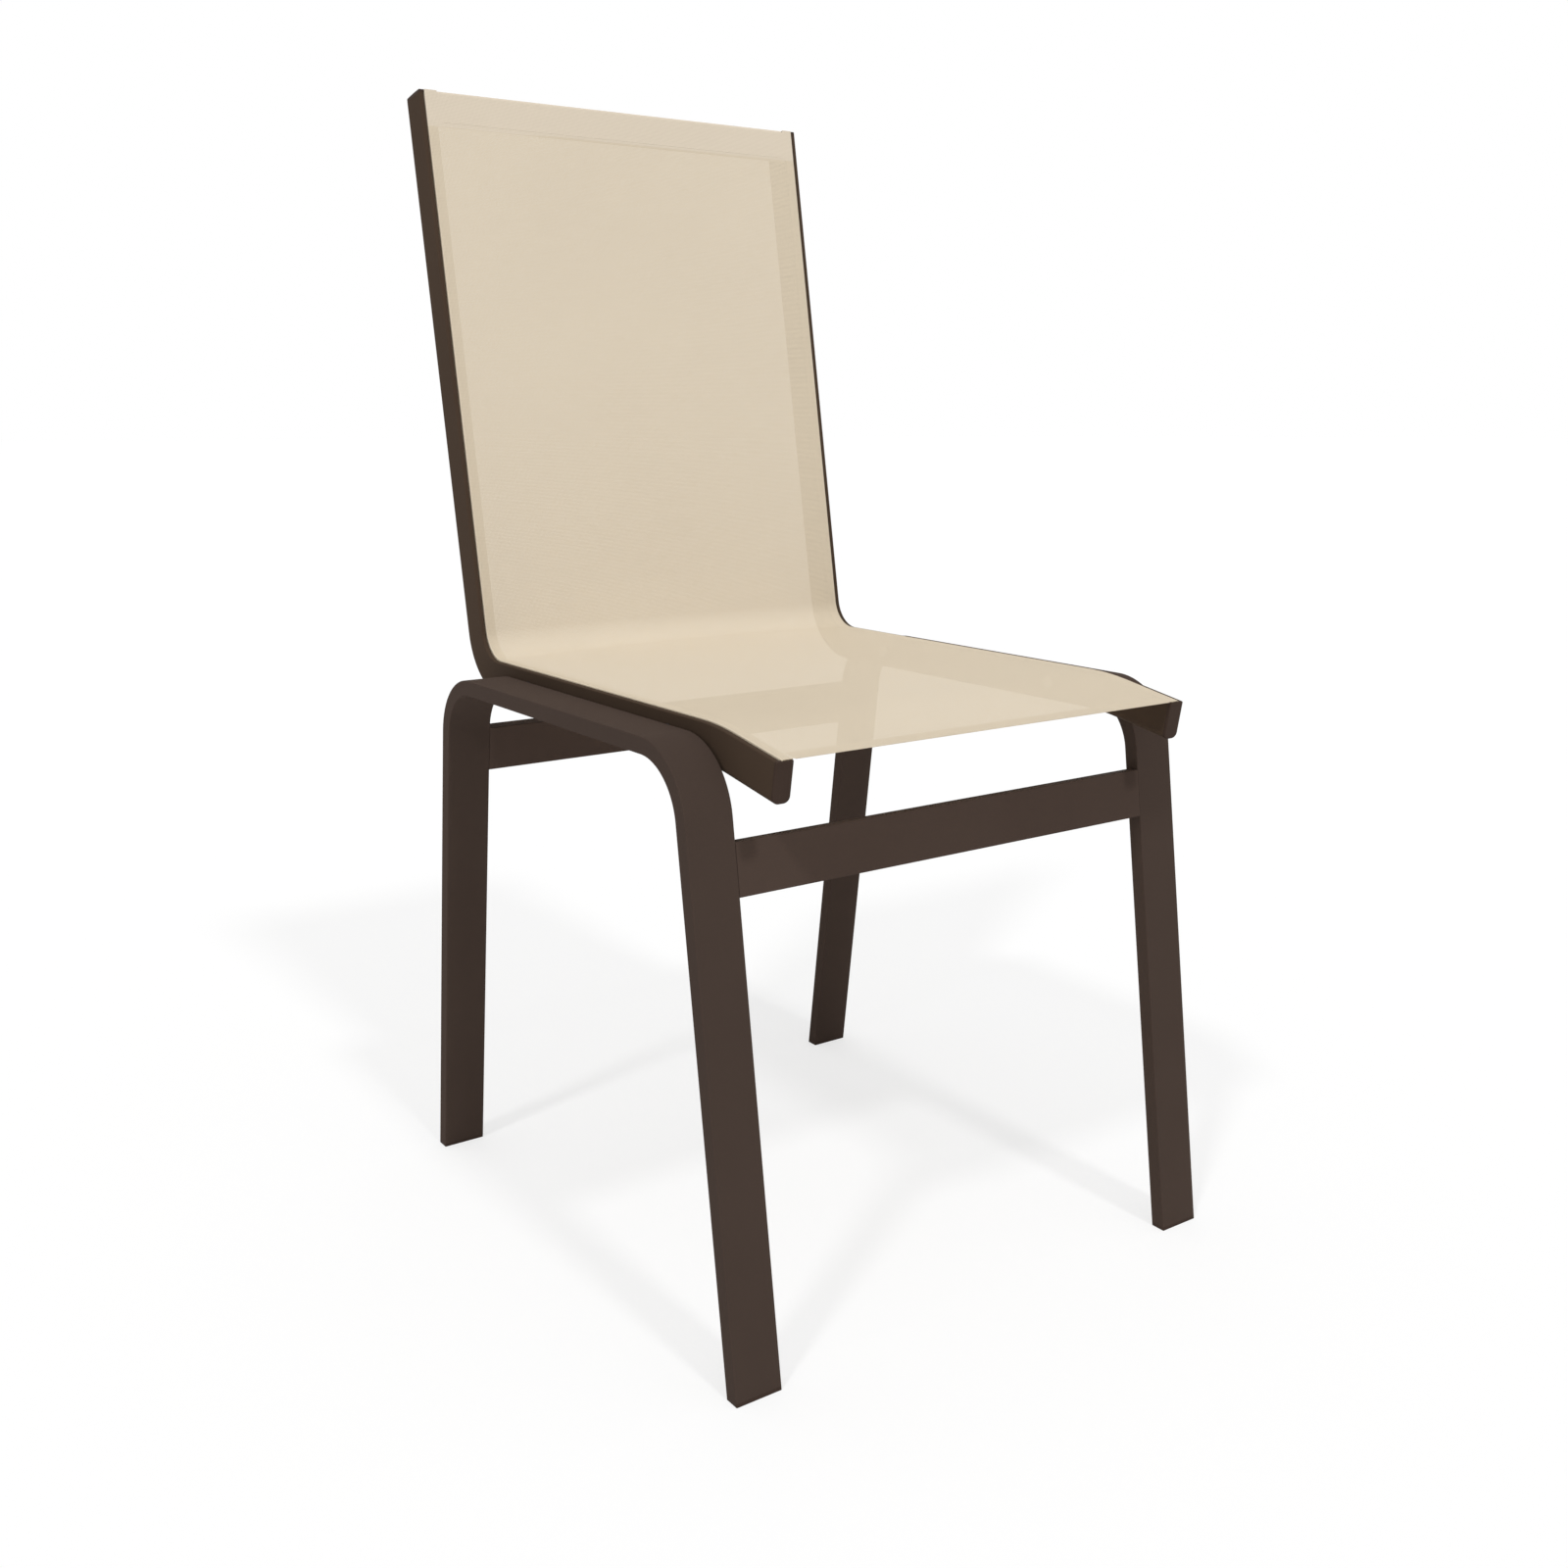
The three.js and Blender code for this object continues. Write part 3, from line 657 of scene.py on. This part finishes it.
hem_reach = rail_inner - BESIDE_RAIL
outer_bend, inner_bend = TOP_LAYER + INTO_SLOT, INTO_SLOT + LOWER_LAYER
before_slot = slot_x + LAYER_SPREAD - outer_bend
mouth = math.asin(LAYER_SPREAD / CORD_WRAP)
mouth_angle = math.degrees(mouth)
down_slot = channel_depth - CORD_WRAP * math.cos(mouth) - INTO_SLOT
half_cross = Route((0, TOP_LAYER), 0, [
    (hem_reach, 0), (before_slot - hem_reach, 0), (outer_bend, 90), (down_slot, 0), (0, mouth_angle - 90),
    (CORD_WRAP, 360 - 2 * mouth_angle), (0, mouth_angle - 90), (down_slot, 0), (inner_bend, -90), (RETURN, 0),
])

hem_back = 2 * TOP_FOLD_RADIUS + TOP_FOLD_FLAT - (TOP_LAYER - LOWER_LAYER)
hem_sine, hem_cosine = math.sin(math.radians(HEM_TURN)), math.cos(math.radians(HEM_TURN))
slant = (hem_back - 2 * HEM_BEND * (1 - hem_cosine)) / hem_sine
slant_rise = 2 * HEM_BEND * hem_sine + slant * hem_cosine
hem_rise = HEM_EDGE - HEM_LAP - slant_rise - TOP_FOLD_RADIUS - INSET
before_back = [
    (HEM_LAP, 0), (HEM_BEND, HEM_TURN), (slant, 0), (HEM_BEND, -HEM_TURN), (hem_rise, 0),
    (TOP_FOLD_RADIUS, -90), (TOP_FOLD_FLAT, 0), (TOP_FOLD_RADIUS, -90),
]
front_fold = (TOP_LAYER - LOWER_LAYER) / 2
down = math.radians(back_heading)
cloth_start = rail_start + HEM_EDGE * ahead(down) + LOWER_LAYER * right_of(down)
cloth_bend = SEAT_BEND - TOP_LAYER
cloth_route = Route(cloth_start, back_heading + 180, before_back + [
    (back_run - INSET - TOP_FOLD_RADIUS, 0), (cloth_bend, 90 - RECLINE), (seat_run, 0),
    (TIP_BEND + TOP_LAYER, -TIP_DROP), (tip_run - INSET - front_fold, 0), (front_fold, -180), (FRONT_HEM, 0),
])
back_starts = cloth_route.moves[len(before_back)][0]
front_ends = cloth_route.moves[-2][0]
seat_starts = cloth_route.moves[len(before_back) + 2][0]
bend_middle = seat_starts - cloth_bend * math.radians(90 - RECLINE) / 2
print(f"flat cloth {2 * half_cross.length:.1f} x {cloth_route.length:.1f} mm")

# %% Cut the cloth flat
LONGEST = 11
half_stops = half_cross.stops(LONGEST)
across_stops = [-stop for stop in reversed(half_stops)] + half_stops[1:]
along_stops = cloth_route.stops(LONGEST)
cells_across, cells_along = len(across_stops) - 1, len(along_stops) - 1

cloth = bmesh.new()
uv_layer = cloth.loops.layers.uv.new("cloth")
bmesh.ops.create_grid(cloth, x_segments=cells_across, y_segments=cells_along, size=1)
for vertex in cloth.verts:
    column = round((vertex.co.x + 1) / 2 * cells_across)
    row = round((vertex.co.y + 1) / 2 * cells_along)
    vertex.co = (across_stops[column], along_stops[row], 0)
for face in cloth.faces:
    for loop in face.loops:
        loop[uv_layer].uv = (loop.vert.co.x * MM, loop.vert.co.y * MM)

rail_end = back_starts - (INSET + TOP_FOLD_RADIUS - HAIRLINE)
side_top = min(stop for stop in along_stops if stop > rail_end)


def beside_hems(face):
    """Whether a face lies beside a hem, where the cloth is cut away."""
    middle = face.calc_center_median()
    return abs(middle.x) > hem_reach and not side_top < middle.y < front_ends


def beside_fold(vertex):
    """Where the folded top parts from the strips that run on into the rails."""
    along = side_top - SAME_PLACE < vertex.co.y < back_starts + SAME_PLACE
    return along and abs(abs(vertex.co.x) - hem_reach) < SAME_PLACE


bmesh.ops.delete(cloth, geom=[face for face in cloth.faces if beside_hems(face)], context="FACES")
slits = [edge for edge in cloth.edges if all(beside_fold(vertex) for vertex in edge.verts)]
bmesh.ops.split_edges(cloth, edges=slits)
flat_area = sum(face.calc_area() for face in cloth.faces) * MM**2
print(f"cloth cut to {flat_area:.4f} square metres, {len(cloth.faces)} faces")

# %% Hang the cloth
LIFT, LIFT_REACH, FLAT_EDGE = 3.5, 42, 4


def lift(x, distance):
    """Cloth that is pulled lengthwise stands a little off the corner between the seat and the back."""
    from_edge = max(0.0, 1 - (x / (hem_reach - FLAT_EDGE)) ** 2)
    return LIFT * from_edge * math.exp(-(((distance - bend_middle) / LIFT_REACH) ** 2))


def hang(vertex):
    """The place in space of a vertex of the flat cloth."""
    u, distance = vertex.co.x, vertex.co.y
    (x, above), _ = half_cross.at(abs(u))
    beside = all(abs(face.calc_center_median().x) > hem_reach for face in vertex.link_faces)
    if beside and distance < back_starts:
        place, heading = cloth_route.at(back_starts)
        place = place - (back_starts - distance) * ahead(heading)
    else:
        place, heading = cloth_route.at(distance)
    place = place + (above - TOP_LAYER + lift(x, distance)) * right_of(heading)
    return Vector((math.copysign(x, u), place.x, place.y))


carried = {vertex: hang(vertex) for vertex in cloth.verts}
for vertex, place in carried.items():
    vertex.co = place
sling = piece(cloth, "sling_cloth", "sling_mesh", "sling", closed=False)

# %% [markdown]
# ## The seam
#
# A lockstitch holds the folded hem, and it shows on both sides of the cloth. It could be a dashed line in
# the material, but thread stands up from the cloth and throws its own small shadows. Each stitch is a
# short arch with only about a hundred faces, because there are about two hundred stitches.

# %% Sew the hem
THREAD, THREAD_SIDES, STITCH, SEAM_MARGIN = 0.26, 6, 3.6, 2
ARCH_START, ARCH_SLOPE, ARCH_BEND, ARCH_TOP = (-1.45, -0.28), 52, 0.8, 1.65


def one_stitch():
    """An arch along Y, with its ends below z = 0."""
    mesh = bmesh.new()
    bmesh.ops.create_circle(mesh, segments=THREAD_SIDES, radius=THREAD, cap_ends=True)
    arch = [(ARCH_BEND, ARCH_SLOPE), (ARCH_TOP, 0), (ARCH_BEND, ARCH_SLOPE)]
    sweep(mesh, Route(ARCH_START, ARCH_SLOPE, arch))
    data = bpy.data.meshes.new("stitch")
    mesh.to_mesh(data)
    mesh.free()
    return data


stitch = one_stitch()
seam = bmesh.new()
seam_place = rail_start + SEAM * ahead(down)
along_back = ahead(down)
count = int(2 * (hem_reach - SEAM_MARGIN) / STITCH)
for layer, facing in ((TOP_LAYER, 1), (LOWER_LAYER, -1)):
    at = seam_place + layer * right_of(down)
    up = facing * right_of(down)
    for number in range(count):
        before = len(seam.verts)
        seam.from_mesh(stitch)
        seam.verts.ensure_lookup_table()
        x = (number - (count - 1) / 2 + (facing < 0) / 2) * STITCH
        matrix = Matrix((
            (0, 1, 0, x), (along_back.x, 0, up.x, at.x), (along_back.y, 0, up.y, at.y), (0, 0, 0, 1),
        ))
        bmesh.ops.transform(seam, verts=seam.verts[before:], matrix=matrix)
bpy.data.meshes.remove(stitch)
hem_seam = piece(seam, "hem_seam", "sling_mesh")

# %% [markdown]
# ## Shader maths in plain expressions
#
# A material is a graph of small nodes, and adding two numbers takes a node. Wiring each by hand is slow to
# read, so one small class wraps a socket and lets Python's own signs add the nodes. A second class is the
# material: its one method adds any other node from its type, its settings and what its sockets receive.

# %% Signals and finishes
class Signal:
    def __init__(self, finish, socket):
        self.finish, self.socket = finish, socket

    def math(self, operation, *others):
        return self.finish.node("ShaderNodeMath", {"operation": operation}, dict(enumerate((self, *others))))

    def __add__(self, other): return self.math("ADD", other)
    def __sub__(self, other): return self.math("SUBTRACT", other)
    def __mul__(self, other): return self.math("MULTIPLY", other)
    def __rsub__(self, other): return self * -1 + other
    __radd__ = __add__


class Finish:
    def __init__(self, name, colour, roughness, **settings):
        self.material = bpy.data.materials.new(name)
        self.material.use_nodes = True
        self.tree = self.material.node_tree
        self.shader = self.tree.nodes["Principled BSDF"]
        self.set(self.shader, {"Base Color": (*colour, 1), "Roughness": roughness, **settings})

    def set(self, node, sockets):
        for key, value in sockets.items():
            if isinstance(value, Signal):
                self.tree.links.new(value.socket, node.inputs[key])
            else:
                node.inputs[key].default_value = value

    def node(self, kind, settings=None, sockets=None, output=0):
        made = self.tree.nodes.new(kind)
        for key, value in (settings or {}).items():
            setattr(made, key, value)
        self.set(made, sockets or {})
        return Signal(self, made.outputs[output])

    def place(self):
        """The place on the piece, in metres."""
        return self.node("ShaderNodeTexCoord", output="Object")

    def noise(self, where, grains_per_metre, detail=2.0, roughness=0.5):
        """Cloudy noise from 0 to 1."""
        return self.node("ShaderNodeTexNoise", {}, {
            "Vector": where, "Scale": grains_per_metre, "Detail": detail, "Roughness": roughness,
        })

    def ramp(self, value, start, end):
        """0 up to the start, 1 from the end on, and a smooth change between."""
        return self.node("ShaderNodeMapRange", {"interpolation_type": "SMOOTHSTEP"}, {
            "Value": value, "From Min": start, "From Max": end,
        })

    def blend(self, mask, first, second, how="MIX"):
        """Two colours mixed, or multiplied, by a mask from 0 to 1."""
        settings = {"data_type": "RGBA", "blend_type": how}
        return self.node("ShaderNodeMix", settings, {0: mask, 6: first, 7: second}, output=2)

    def relief(self, height, depth):
        """A bump of a height signal from 0 to 1, with its real depth in metres."""
        return self.node("ShaderNodeBump", {}, {"Height": height, "Strength": 1.0, "Distance": depth})

    def feed(self, **signals):
        """Send signals to the shader: base_color goes to Base Color, and so on."""
        self.set(self.shader, {key.replace("_", " ").title(): value for key, value in signals.items()})

    def onto(self, *objects):
        for found in objects:
            found.data.materials.clear()
            found.data.materials.append(self.material)
        print(f"{self.material.name}: {len(objects)} pieces, {len(self.tree.nodes)} nodes")


# %% [markdown]
# ## Powder coat
#
# The tubes and rails are coated with a dark brown powder that melts into a dull skin with a faint orange
# peel. One flat brown would look like plastic. Slow noise shifts the brown a little from place to place,
# and fine noise gives the orange peel as a bump a few hundredths of a millimetre deep. In the photograph the
# rails are a little redder than the legs and the front cross tube is a little lighter. So the rails get a
# redder copy of the coat, and the cross tubes a lighter copy whose extra lightness is painted light.

# %% Coat the frame
CLOUDS, PEEL, SPECKS = 9, 900, 5200
PEEL_DEPTH = 0.06 * MM


def powder_coat(name, dark, light):
    """A dull powder coat: two close tones, fine specks and orange peel."""
    finish = Finish(name, light, 0.75, **{"Specular IOR Level": 0.04})
    where = finish.place()
    clouds = finish.noise(where, CLOUDS, 3)
    peel = finish.noise(where, PEEL, 1)
    specks = finish.noise(where, SPECKS, 1)
    finish.feed(
        base_color=finish.blend(clouds, (*dark, 1), (*light, 1)),
        roughness=0.7 + clouds * 0.06 + specks * 0.06,
        normal=finish.relief(peel * 0.8 + specks * 0.2, PEEL_DEPTH),
    )
    return finish


powder_coat("brown_leg_coat", (0.051, 0.035, 0.028), (0.063, 0.044, 0.035)).onto(*legs)
# The cross tubes' lighter tones are painted light, standing in for light from the front that the lamps don't
# give.
powder_coat("painted_light_cross_tube_coat", (0.058, 0.039, 0.031), (0.071, 0.049, 0.039)).onto(*cross_tubes)
powder_coat("brown_rail_coat", (0.052, 0.034, 0.023), (0.066, 0.044, 0.030)).onto(*rails)

# %% [markdown]
# ## Woven mesh
#
# The sling is plastic-coated yarn in a plain weave with small square gaps. A picture of cloth would blur
# close up, and real threads would be millions of faces. So the weave is worked out from the flat cloth
# coordinates: two sines say how near a point is to the middle of each yarn, their product says which yarn
# is on top, and where both are far from a yarn there is a gap that lets the background through. The colour
# is darkened where the yarns dip, which is painted shade. Where the cloth lies double in the hem, the layer
# behind closes the gaps, and a lighter, paler colour there is painted light for what that layer sends back.
# The hem's cut edge shows as a fine dark line below the seam, and fades on the side where the photograph
# shows none.

# %% Weave the sling
PITCH, GAP, WEAVE_DEPTH = 1.2 * MM, 0.375, 0.1 * MM
YARN_RISE, CROSSING_RISE = 0.6, 0.4
BELOW_SEAM = 2.4
HEM_END = (back_starts + SEAM + BELOW_SEAM - INSET - TOP_FOLD_RADIUS) * MM
HEM_EDGE_SHOWS, HEM_EDGE_FADES = 1.4 * MM, (-110 * MM, -70 * MM)
HEM_PAINTED_LIGHT, GROOVE_SHADE = 0.45, 0.5
SLUB_STRETCH, CLOTH_CLOUDS = (40, 260, 1), 7


def weave(finish, u, v):
    """How near a point is to a yarn's middle, and the height of the yarn on top."""
    warp, weft = ((signal * (math.pi / PITCH)).math("SINE") for signal in (u, v))
    both = warp * weft * CROSSING_RISE
    warp, weft = warp.math("ABSOLUTE"), weft.math("ABSOLUTE")
    return warp.math("MAXIMUM", weft), (warp * YARN_RISE + both).math("MAXIMUM", weft * YARN_RISE - both)


mesh_finish = Finish("cream_woven_mesh", (0.73, 0.63, 0.47), 0.75, **{"Specular IOR Level": 0.25})
uv = mesh_finish.node("ShaderNodeUVMap", {"uv_map": "cloth"})
u, v = (mesh_finish.node("ShaderNodeSeparateXYZ", {}, {0: uv}, output=axis) for axis in (0, 1))
nearest, height = weave(mesh_finish, u, v)
double = v.math("LESS_THAN", HEM_END + (1 - mesh_finish.ramp(u, *HEM_EDGE_FADES)) * HEM_EDGE_SHOWS)
stretched = mesh_finish.node("ShaderNodeMapping", {}, {"Vector": uv, "Scale": SLUB_STRETCH})
slub = mesh_finish.noise(stretched, 1, 2)
clouds = mesh_finish.noise(mesh_finish.place(), CLOTH_CLOUDS, 2)
yarn = mesh_finish.blend(slub * 0.4 + clouds * 0.6, (0.665, 0.575, 0.445, 1), (0.725, 0.635, 0.495, 1))
# The lighter, paler colour where the cloth lies double is painted light.
yarn_with_painted_hem_light = mesh_finish.blend(double * HEM_PAINTED_LIGHT, yarn, (0.74, 0.67, 0.58, 1))
# Darker colour where the yarns dip is painted shade in the crevices of the weave.
crevice_painted_shade = mesh_finish.blend(height, (0.55, 0.48, 0.38, 1), (1, 1, 1, 1))
mesh_finish.feed(
    base_color=mesh_finish.blend(GROOVE_SHADE, yarn_with_painted_hem_light, crevice_painted_shade, "MULTIPLY"),
    alpha=nearest.math("GREATER_THAN", GAP - double * GAP),
    roughness=0.85 - height * 0.2,
    normal=mesh_finish.relief(height, WEAVE_DEPTH),
)
mesh_finish.onto(sling)

# %% [markdown]
# ## Thread
#
# The seam is sewn with a twisted polyester thread a little lighter than the cloth. A plain colour would
# make it a wire. Bands across each stitch, slightly tilted, stand for the twist.

# %% Colour the thread
TWIST, TWIST_DEPTH = 900, 0.06 * MM

thread = Finish("cream_thread", (0.72, 0.64, 0.52), 0.6, **{"Specular IOR Level": 0.3})
twist = thread.node("ShaderNodeTexWave", {"bands_direction": "DIAGONAL"}, {
    "Vector": thread.place(), "Scale": TWIST, "Distortion": 1.0,
}, output="Fac")
thread.feed(
    base_color=thread.blend(twist, (0.60, 0.52, 0.41, 1), (0.76, 0.68, 0.56, 1)),
    roughness=0.5 + twist * 0.2,
    normal=thread.relief(twist, TWIST_DEPTH),
)
thread.onto(hem_seam)

# %% [markdown]
# ## Plastics
#
# Caps and feet are moulded in the frame's brown with a fine spark-eroded grain. The spacers are black
# nylon, and the cords in the cloth's edges are pale vinyl. Each is the same recipe with its own numbers:
# grain from noise, a little change of tone, and roughness that follows the grain.

# %% Mould the plastics
SIDES = ("left", "right")
TONE_CLOUDS = 40


def moulded(name, dark, light, grains, depth, roughness):
    """A moulded plastic: two close tones and a grain."""
    finish = Finish(name, light, roughness, **{"Specular IOR Level": 0.05})
    where = finish.place()
    grain = finish.noise(where, grains, 2)
    tone = finish.noise(where, TONE_CLOUDS, 2)
    finish.feed(
        base_color=finish.blend(tone, (*dark, 1), (*light, 1)),
        roughness=roughness - 0.06 + grain * 0.12,
        normal=finish.relief(grain, depth),
    )
    return finish


def cad(*names):
    return [bpy.data.objects[name] for name in names]


moulded("brown_moulded_plastic", (0.036, 0.023, 0.017), (0.052, 0.033, 0.025), 2600, 0.03 * MM, 0.5).onto(
    *pieces["moulded_plastic"], *cad(*(f"{side}_spreader_plug" for side in SIDES))
)
moulded("black_nylon", (0.010, 0.010, 0.010), (0.018, 0.017, 0.017), 1800, 0.03 * MM, 0.5).onto(
    *pieces["spacer_nylon"]
)
moulded("pale_vinyl_cord", (0.62, 0.59, 0.52), (0.72, 0.69, 0.62), 1200, 0.02 * MM, 0.45).onto(
    *cad(*(f"{side}_keder_rod" for side in SIDES))
)

# %% [markdown]
# ## Bare metal
#
# The screws and inserts are stainless steel and the bar in the hem is mill-finish aluminium. Bare metal has
# a drawn grain that catches light along one direction. Noise stretched along the piece gives that grain in
# both roughness and bump.

# %% Grain the metals
GROOVE_TONE, DRAWN_DEPTH = 0.8, 0.01 * MM


def drawn_metal(name, colour, stretch, roughness):
    """Metal with a grain that runs along X."""
    finish = Finish(name, colour, roughness, Metallic=1.0)
    stretched = finish.node("ShaderNodeMapping", {}, {"Vector": finish.place(), "Scale": stretch})
    lines = finish.noise(stretched, 1, 3, 0.6)
    shade = tuple(channel * GROOVE_TONE for channel in colour)
    finish.feed(
        base_color=finish.blend(lines, (*shade, 1), (*colour, 1)),
        roughness=roughness - 0.1 + lines * 0.2,
        normal=finish.relief(lines, DRAWN_DEPTH),
    )
    return finish


drawn_metal("stainless_steel", (0.42, 0.43, 0.44), (300, 4000, 4000), 0.32).onto(*pieces["stainless"])
drawn_metal("mill_aluminium", (0.56, 0.58, 0.59), (60, 3000, 3000), 0.4).onto(*cad("spreader_bar"))

# %% [markdown]
# ## Floor and light
#
# The photograph has a white ground with two faint shadows at each foot. Laid out on the floor plan, they
# give the lamps' places: one in front, one at the left, both about 50 degrees high. A wide, weak lamp
# overhead fills the seat. More light would whiten the floor but wash out the cloth. Instead the lamps stay
# at a plain level, and the floor and the world show white only to the camera and to reflections.

# %% Light the studio
AMBIENT, FLOOR_GLOW, FLOOR_RADIUS = 0.5, 0.68, 40
LAMPS = {"left_lamp": (-65, 50, 6, 1.0), "front_lamp": (0, 51, 6, 1.0), "overhead_lamp": (0, 88, 60, 0.28)}


def direction(around, above):
    """The way to a place at an angle round the chair and an angle above the floor, in degrees."""
    a, e = math.radians(around), math.radians(above)
    return Vector((math.sin(a) * math.cos(e), -math.cos(a) * math.cos(e), math.sin(e)))


def seen_directly(tree):
    """1 for rays from the camera, reflections and glass, and 0 for light that falls on things."""
    path = tree.nodes.new("ShaderNodeLightPath")
    found = None
    for name in ("Is Camera Ray", "Is Glossy Ray", "Is Transmission Ray"):
        if found is None:
            found = path.outputs[name]
            continue
        either = tree.nodes.new("ShaderNodeMath")
        either.operation = "MAXIMUM"
        tree.links.new(found, either.inputs[0])
        tree.links.new(path.outputs[name], either.inputs[1])
        found = either.outputs[0]
    return found


world = bpy.data.worlds.new("studio")
bpy.context.scene.world = world
world.use_nodes = True
sky = world.node_tree
background = sky.nodes["Background"]
background.inputs["Color"].default_value = (1, 1, 1, 1)
strength = sky.nodes.new("ShaderNodeMapRange")
sky.links.new(seen_directly(sky), strength.inputs["Value"])
strength.inputs["To Min"].default_value = AMBIENT
strength.inputs["To Max"].default_value = 1.0
sky.links.new(strength.outputs[0], background.inputs["Strength"])

for name, (azimuth, elevation, width, energy) in LAMPS.items():
    lamp = bpy.data.lights.new(name, "SUN")
    lamp.energy = energy
    lamp.angle = math.radians(width)
    shown = bpy.data.objects.new(name, lamp)
    bpy.context.collection.objects.link(shown)
    shown.rotation_euler = direction(azimuth, elevation).to_track_quat("Z", "Y").to_euler()

ground = bmesh.new()
bmesh.ops.create_circle(ground, segments=64, radius=FLOOR_RADIUS, cap_ends=True)
ground_data = bpy.data.meshes.new("studio_floor")
ground.to_mesh(ground_data)
ground.free()
floor = bpy.data.objects.new("studio_floor", ground_data)
bpy.context.collection.objects.link(floor)

paper = Finish("white_paper", (0.94, 0.94, 0.94), 1.0, **{"Specular IOR Level": 0.0})
glow = paper.node("ShaderNodeEmission", {}, {"Color": (1, 1, 1, 1), "Strength": 1.0})
seen = Signal(paper, seen_directly(paper.tree))
surface = paper.node("ShaderNodeMixShader", {}, {
    0: seen * FLOOR_GLOW, 1: Signal(paper, paper.shader.outputs[0]), 2: glow,
})
paper.tree.links.new(surface.socket, paper.tree.nodes["Material Output"].inputs["Surface"])
paper.onto(floor)

# %% [markdown]
# ## Camera
#
# The camera stands where the photographer's did. Its place, angle and lens were found by matching the
# chair's corners to the photograph, so the render can be laid over it. Its axes are built from the angle
# round the chair, the angle above the floor and a slight roll.

# %% Set the camera
CAMERA_PLACE = (-0.7856, -1.1290, 0.6854)
AROUND, ABOVE, ROLL, LENS = -34.96, 13.09, -0.11, 36.95
SENSOR, NEAREST, FARTHEST = 36, 0.01, 200

roll = math.radians(ROLL)
backwards = direction(AROUND, ABOVE)
level = Vector((0, 0, 1)).cross(backwards).normalized()
to_right = level * math.cos(roll) + backwards.cross(level) * math.sin(roll)
to_top = backwards.cross(to_right)
lens = bpy.data.cameras.new("camera")
lens.lens, lens.sensor_width = LENS, SENSOR
lens.clip_start, lens.clip_end = NEAREST, FARTHEST
camera = bpy.data.objects.new("camera", lens)
bpy.context.collection.objects.link(camera)
axes = Matrix((to_right, to_top, backwards)).transposed()
camera.matrix_world = Matrix.Translation(CAMERA_PLACE) @ axes.to_4x4()
bpy.context.scene.camera = camera
bpy.context.scene.view_settings.view_transform = "Standard"
print("camera at", [round(value, 3) for value in camera.matrix_world.translation])
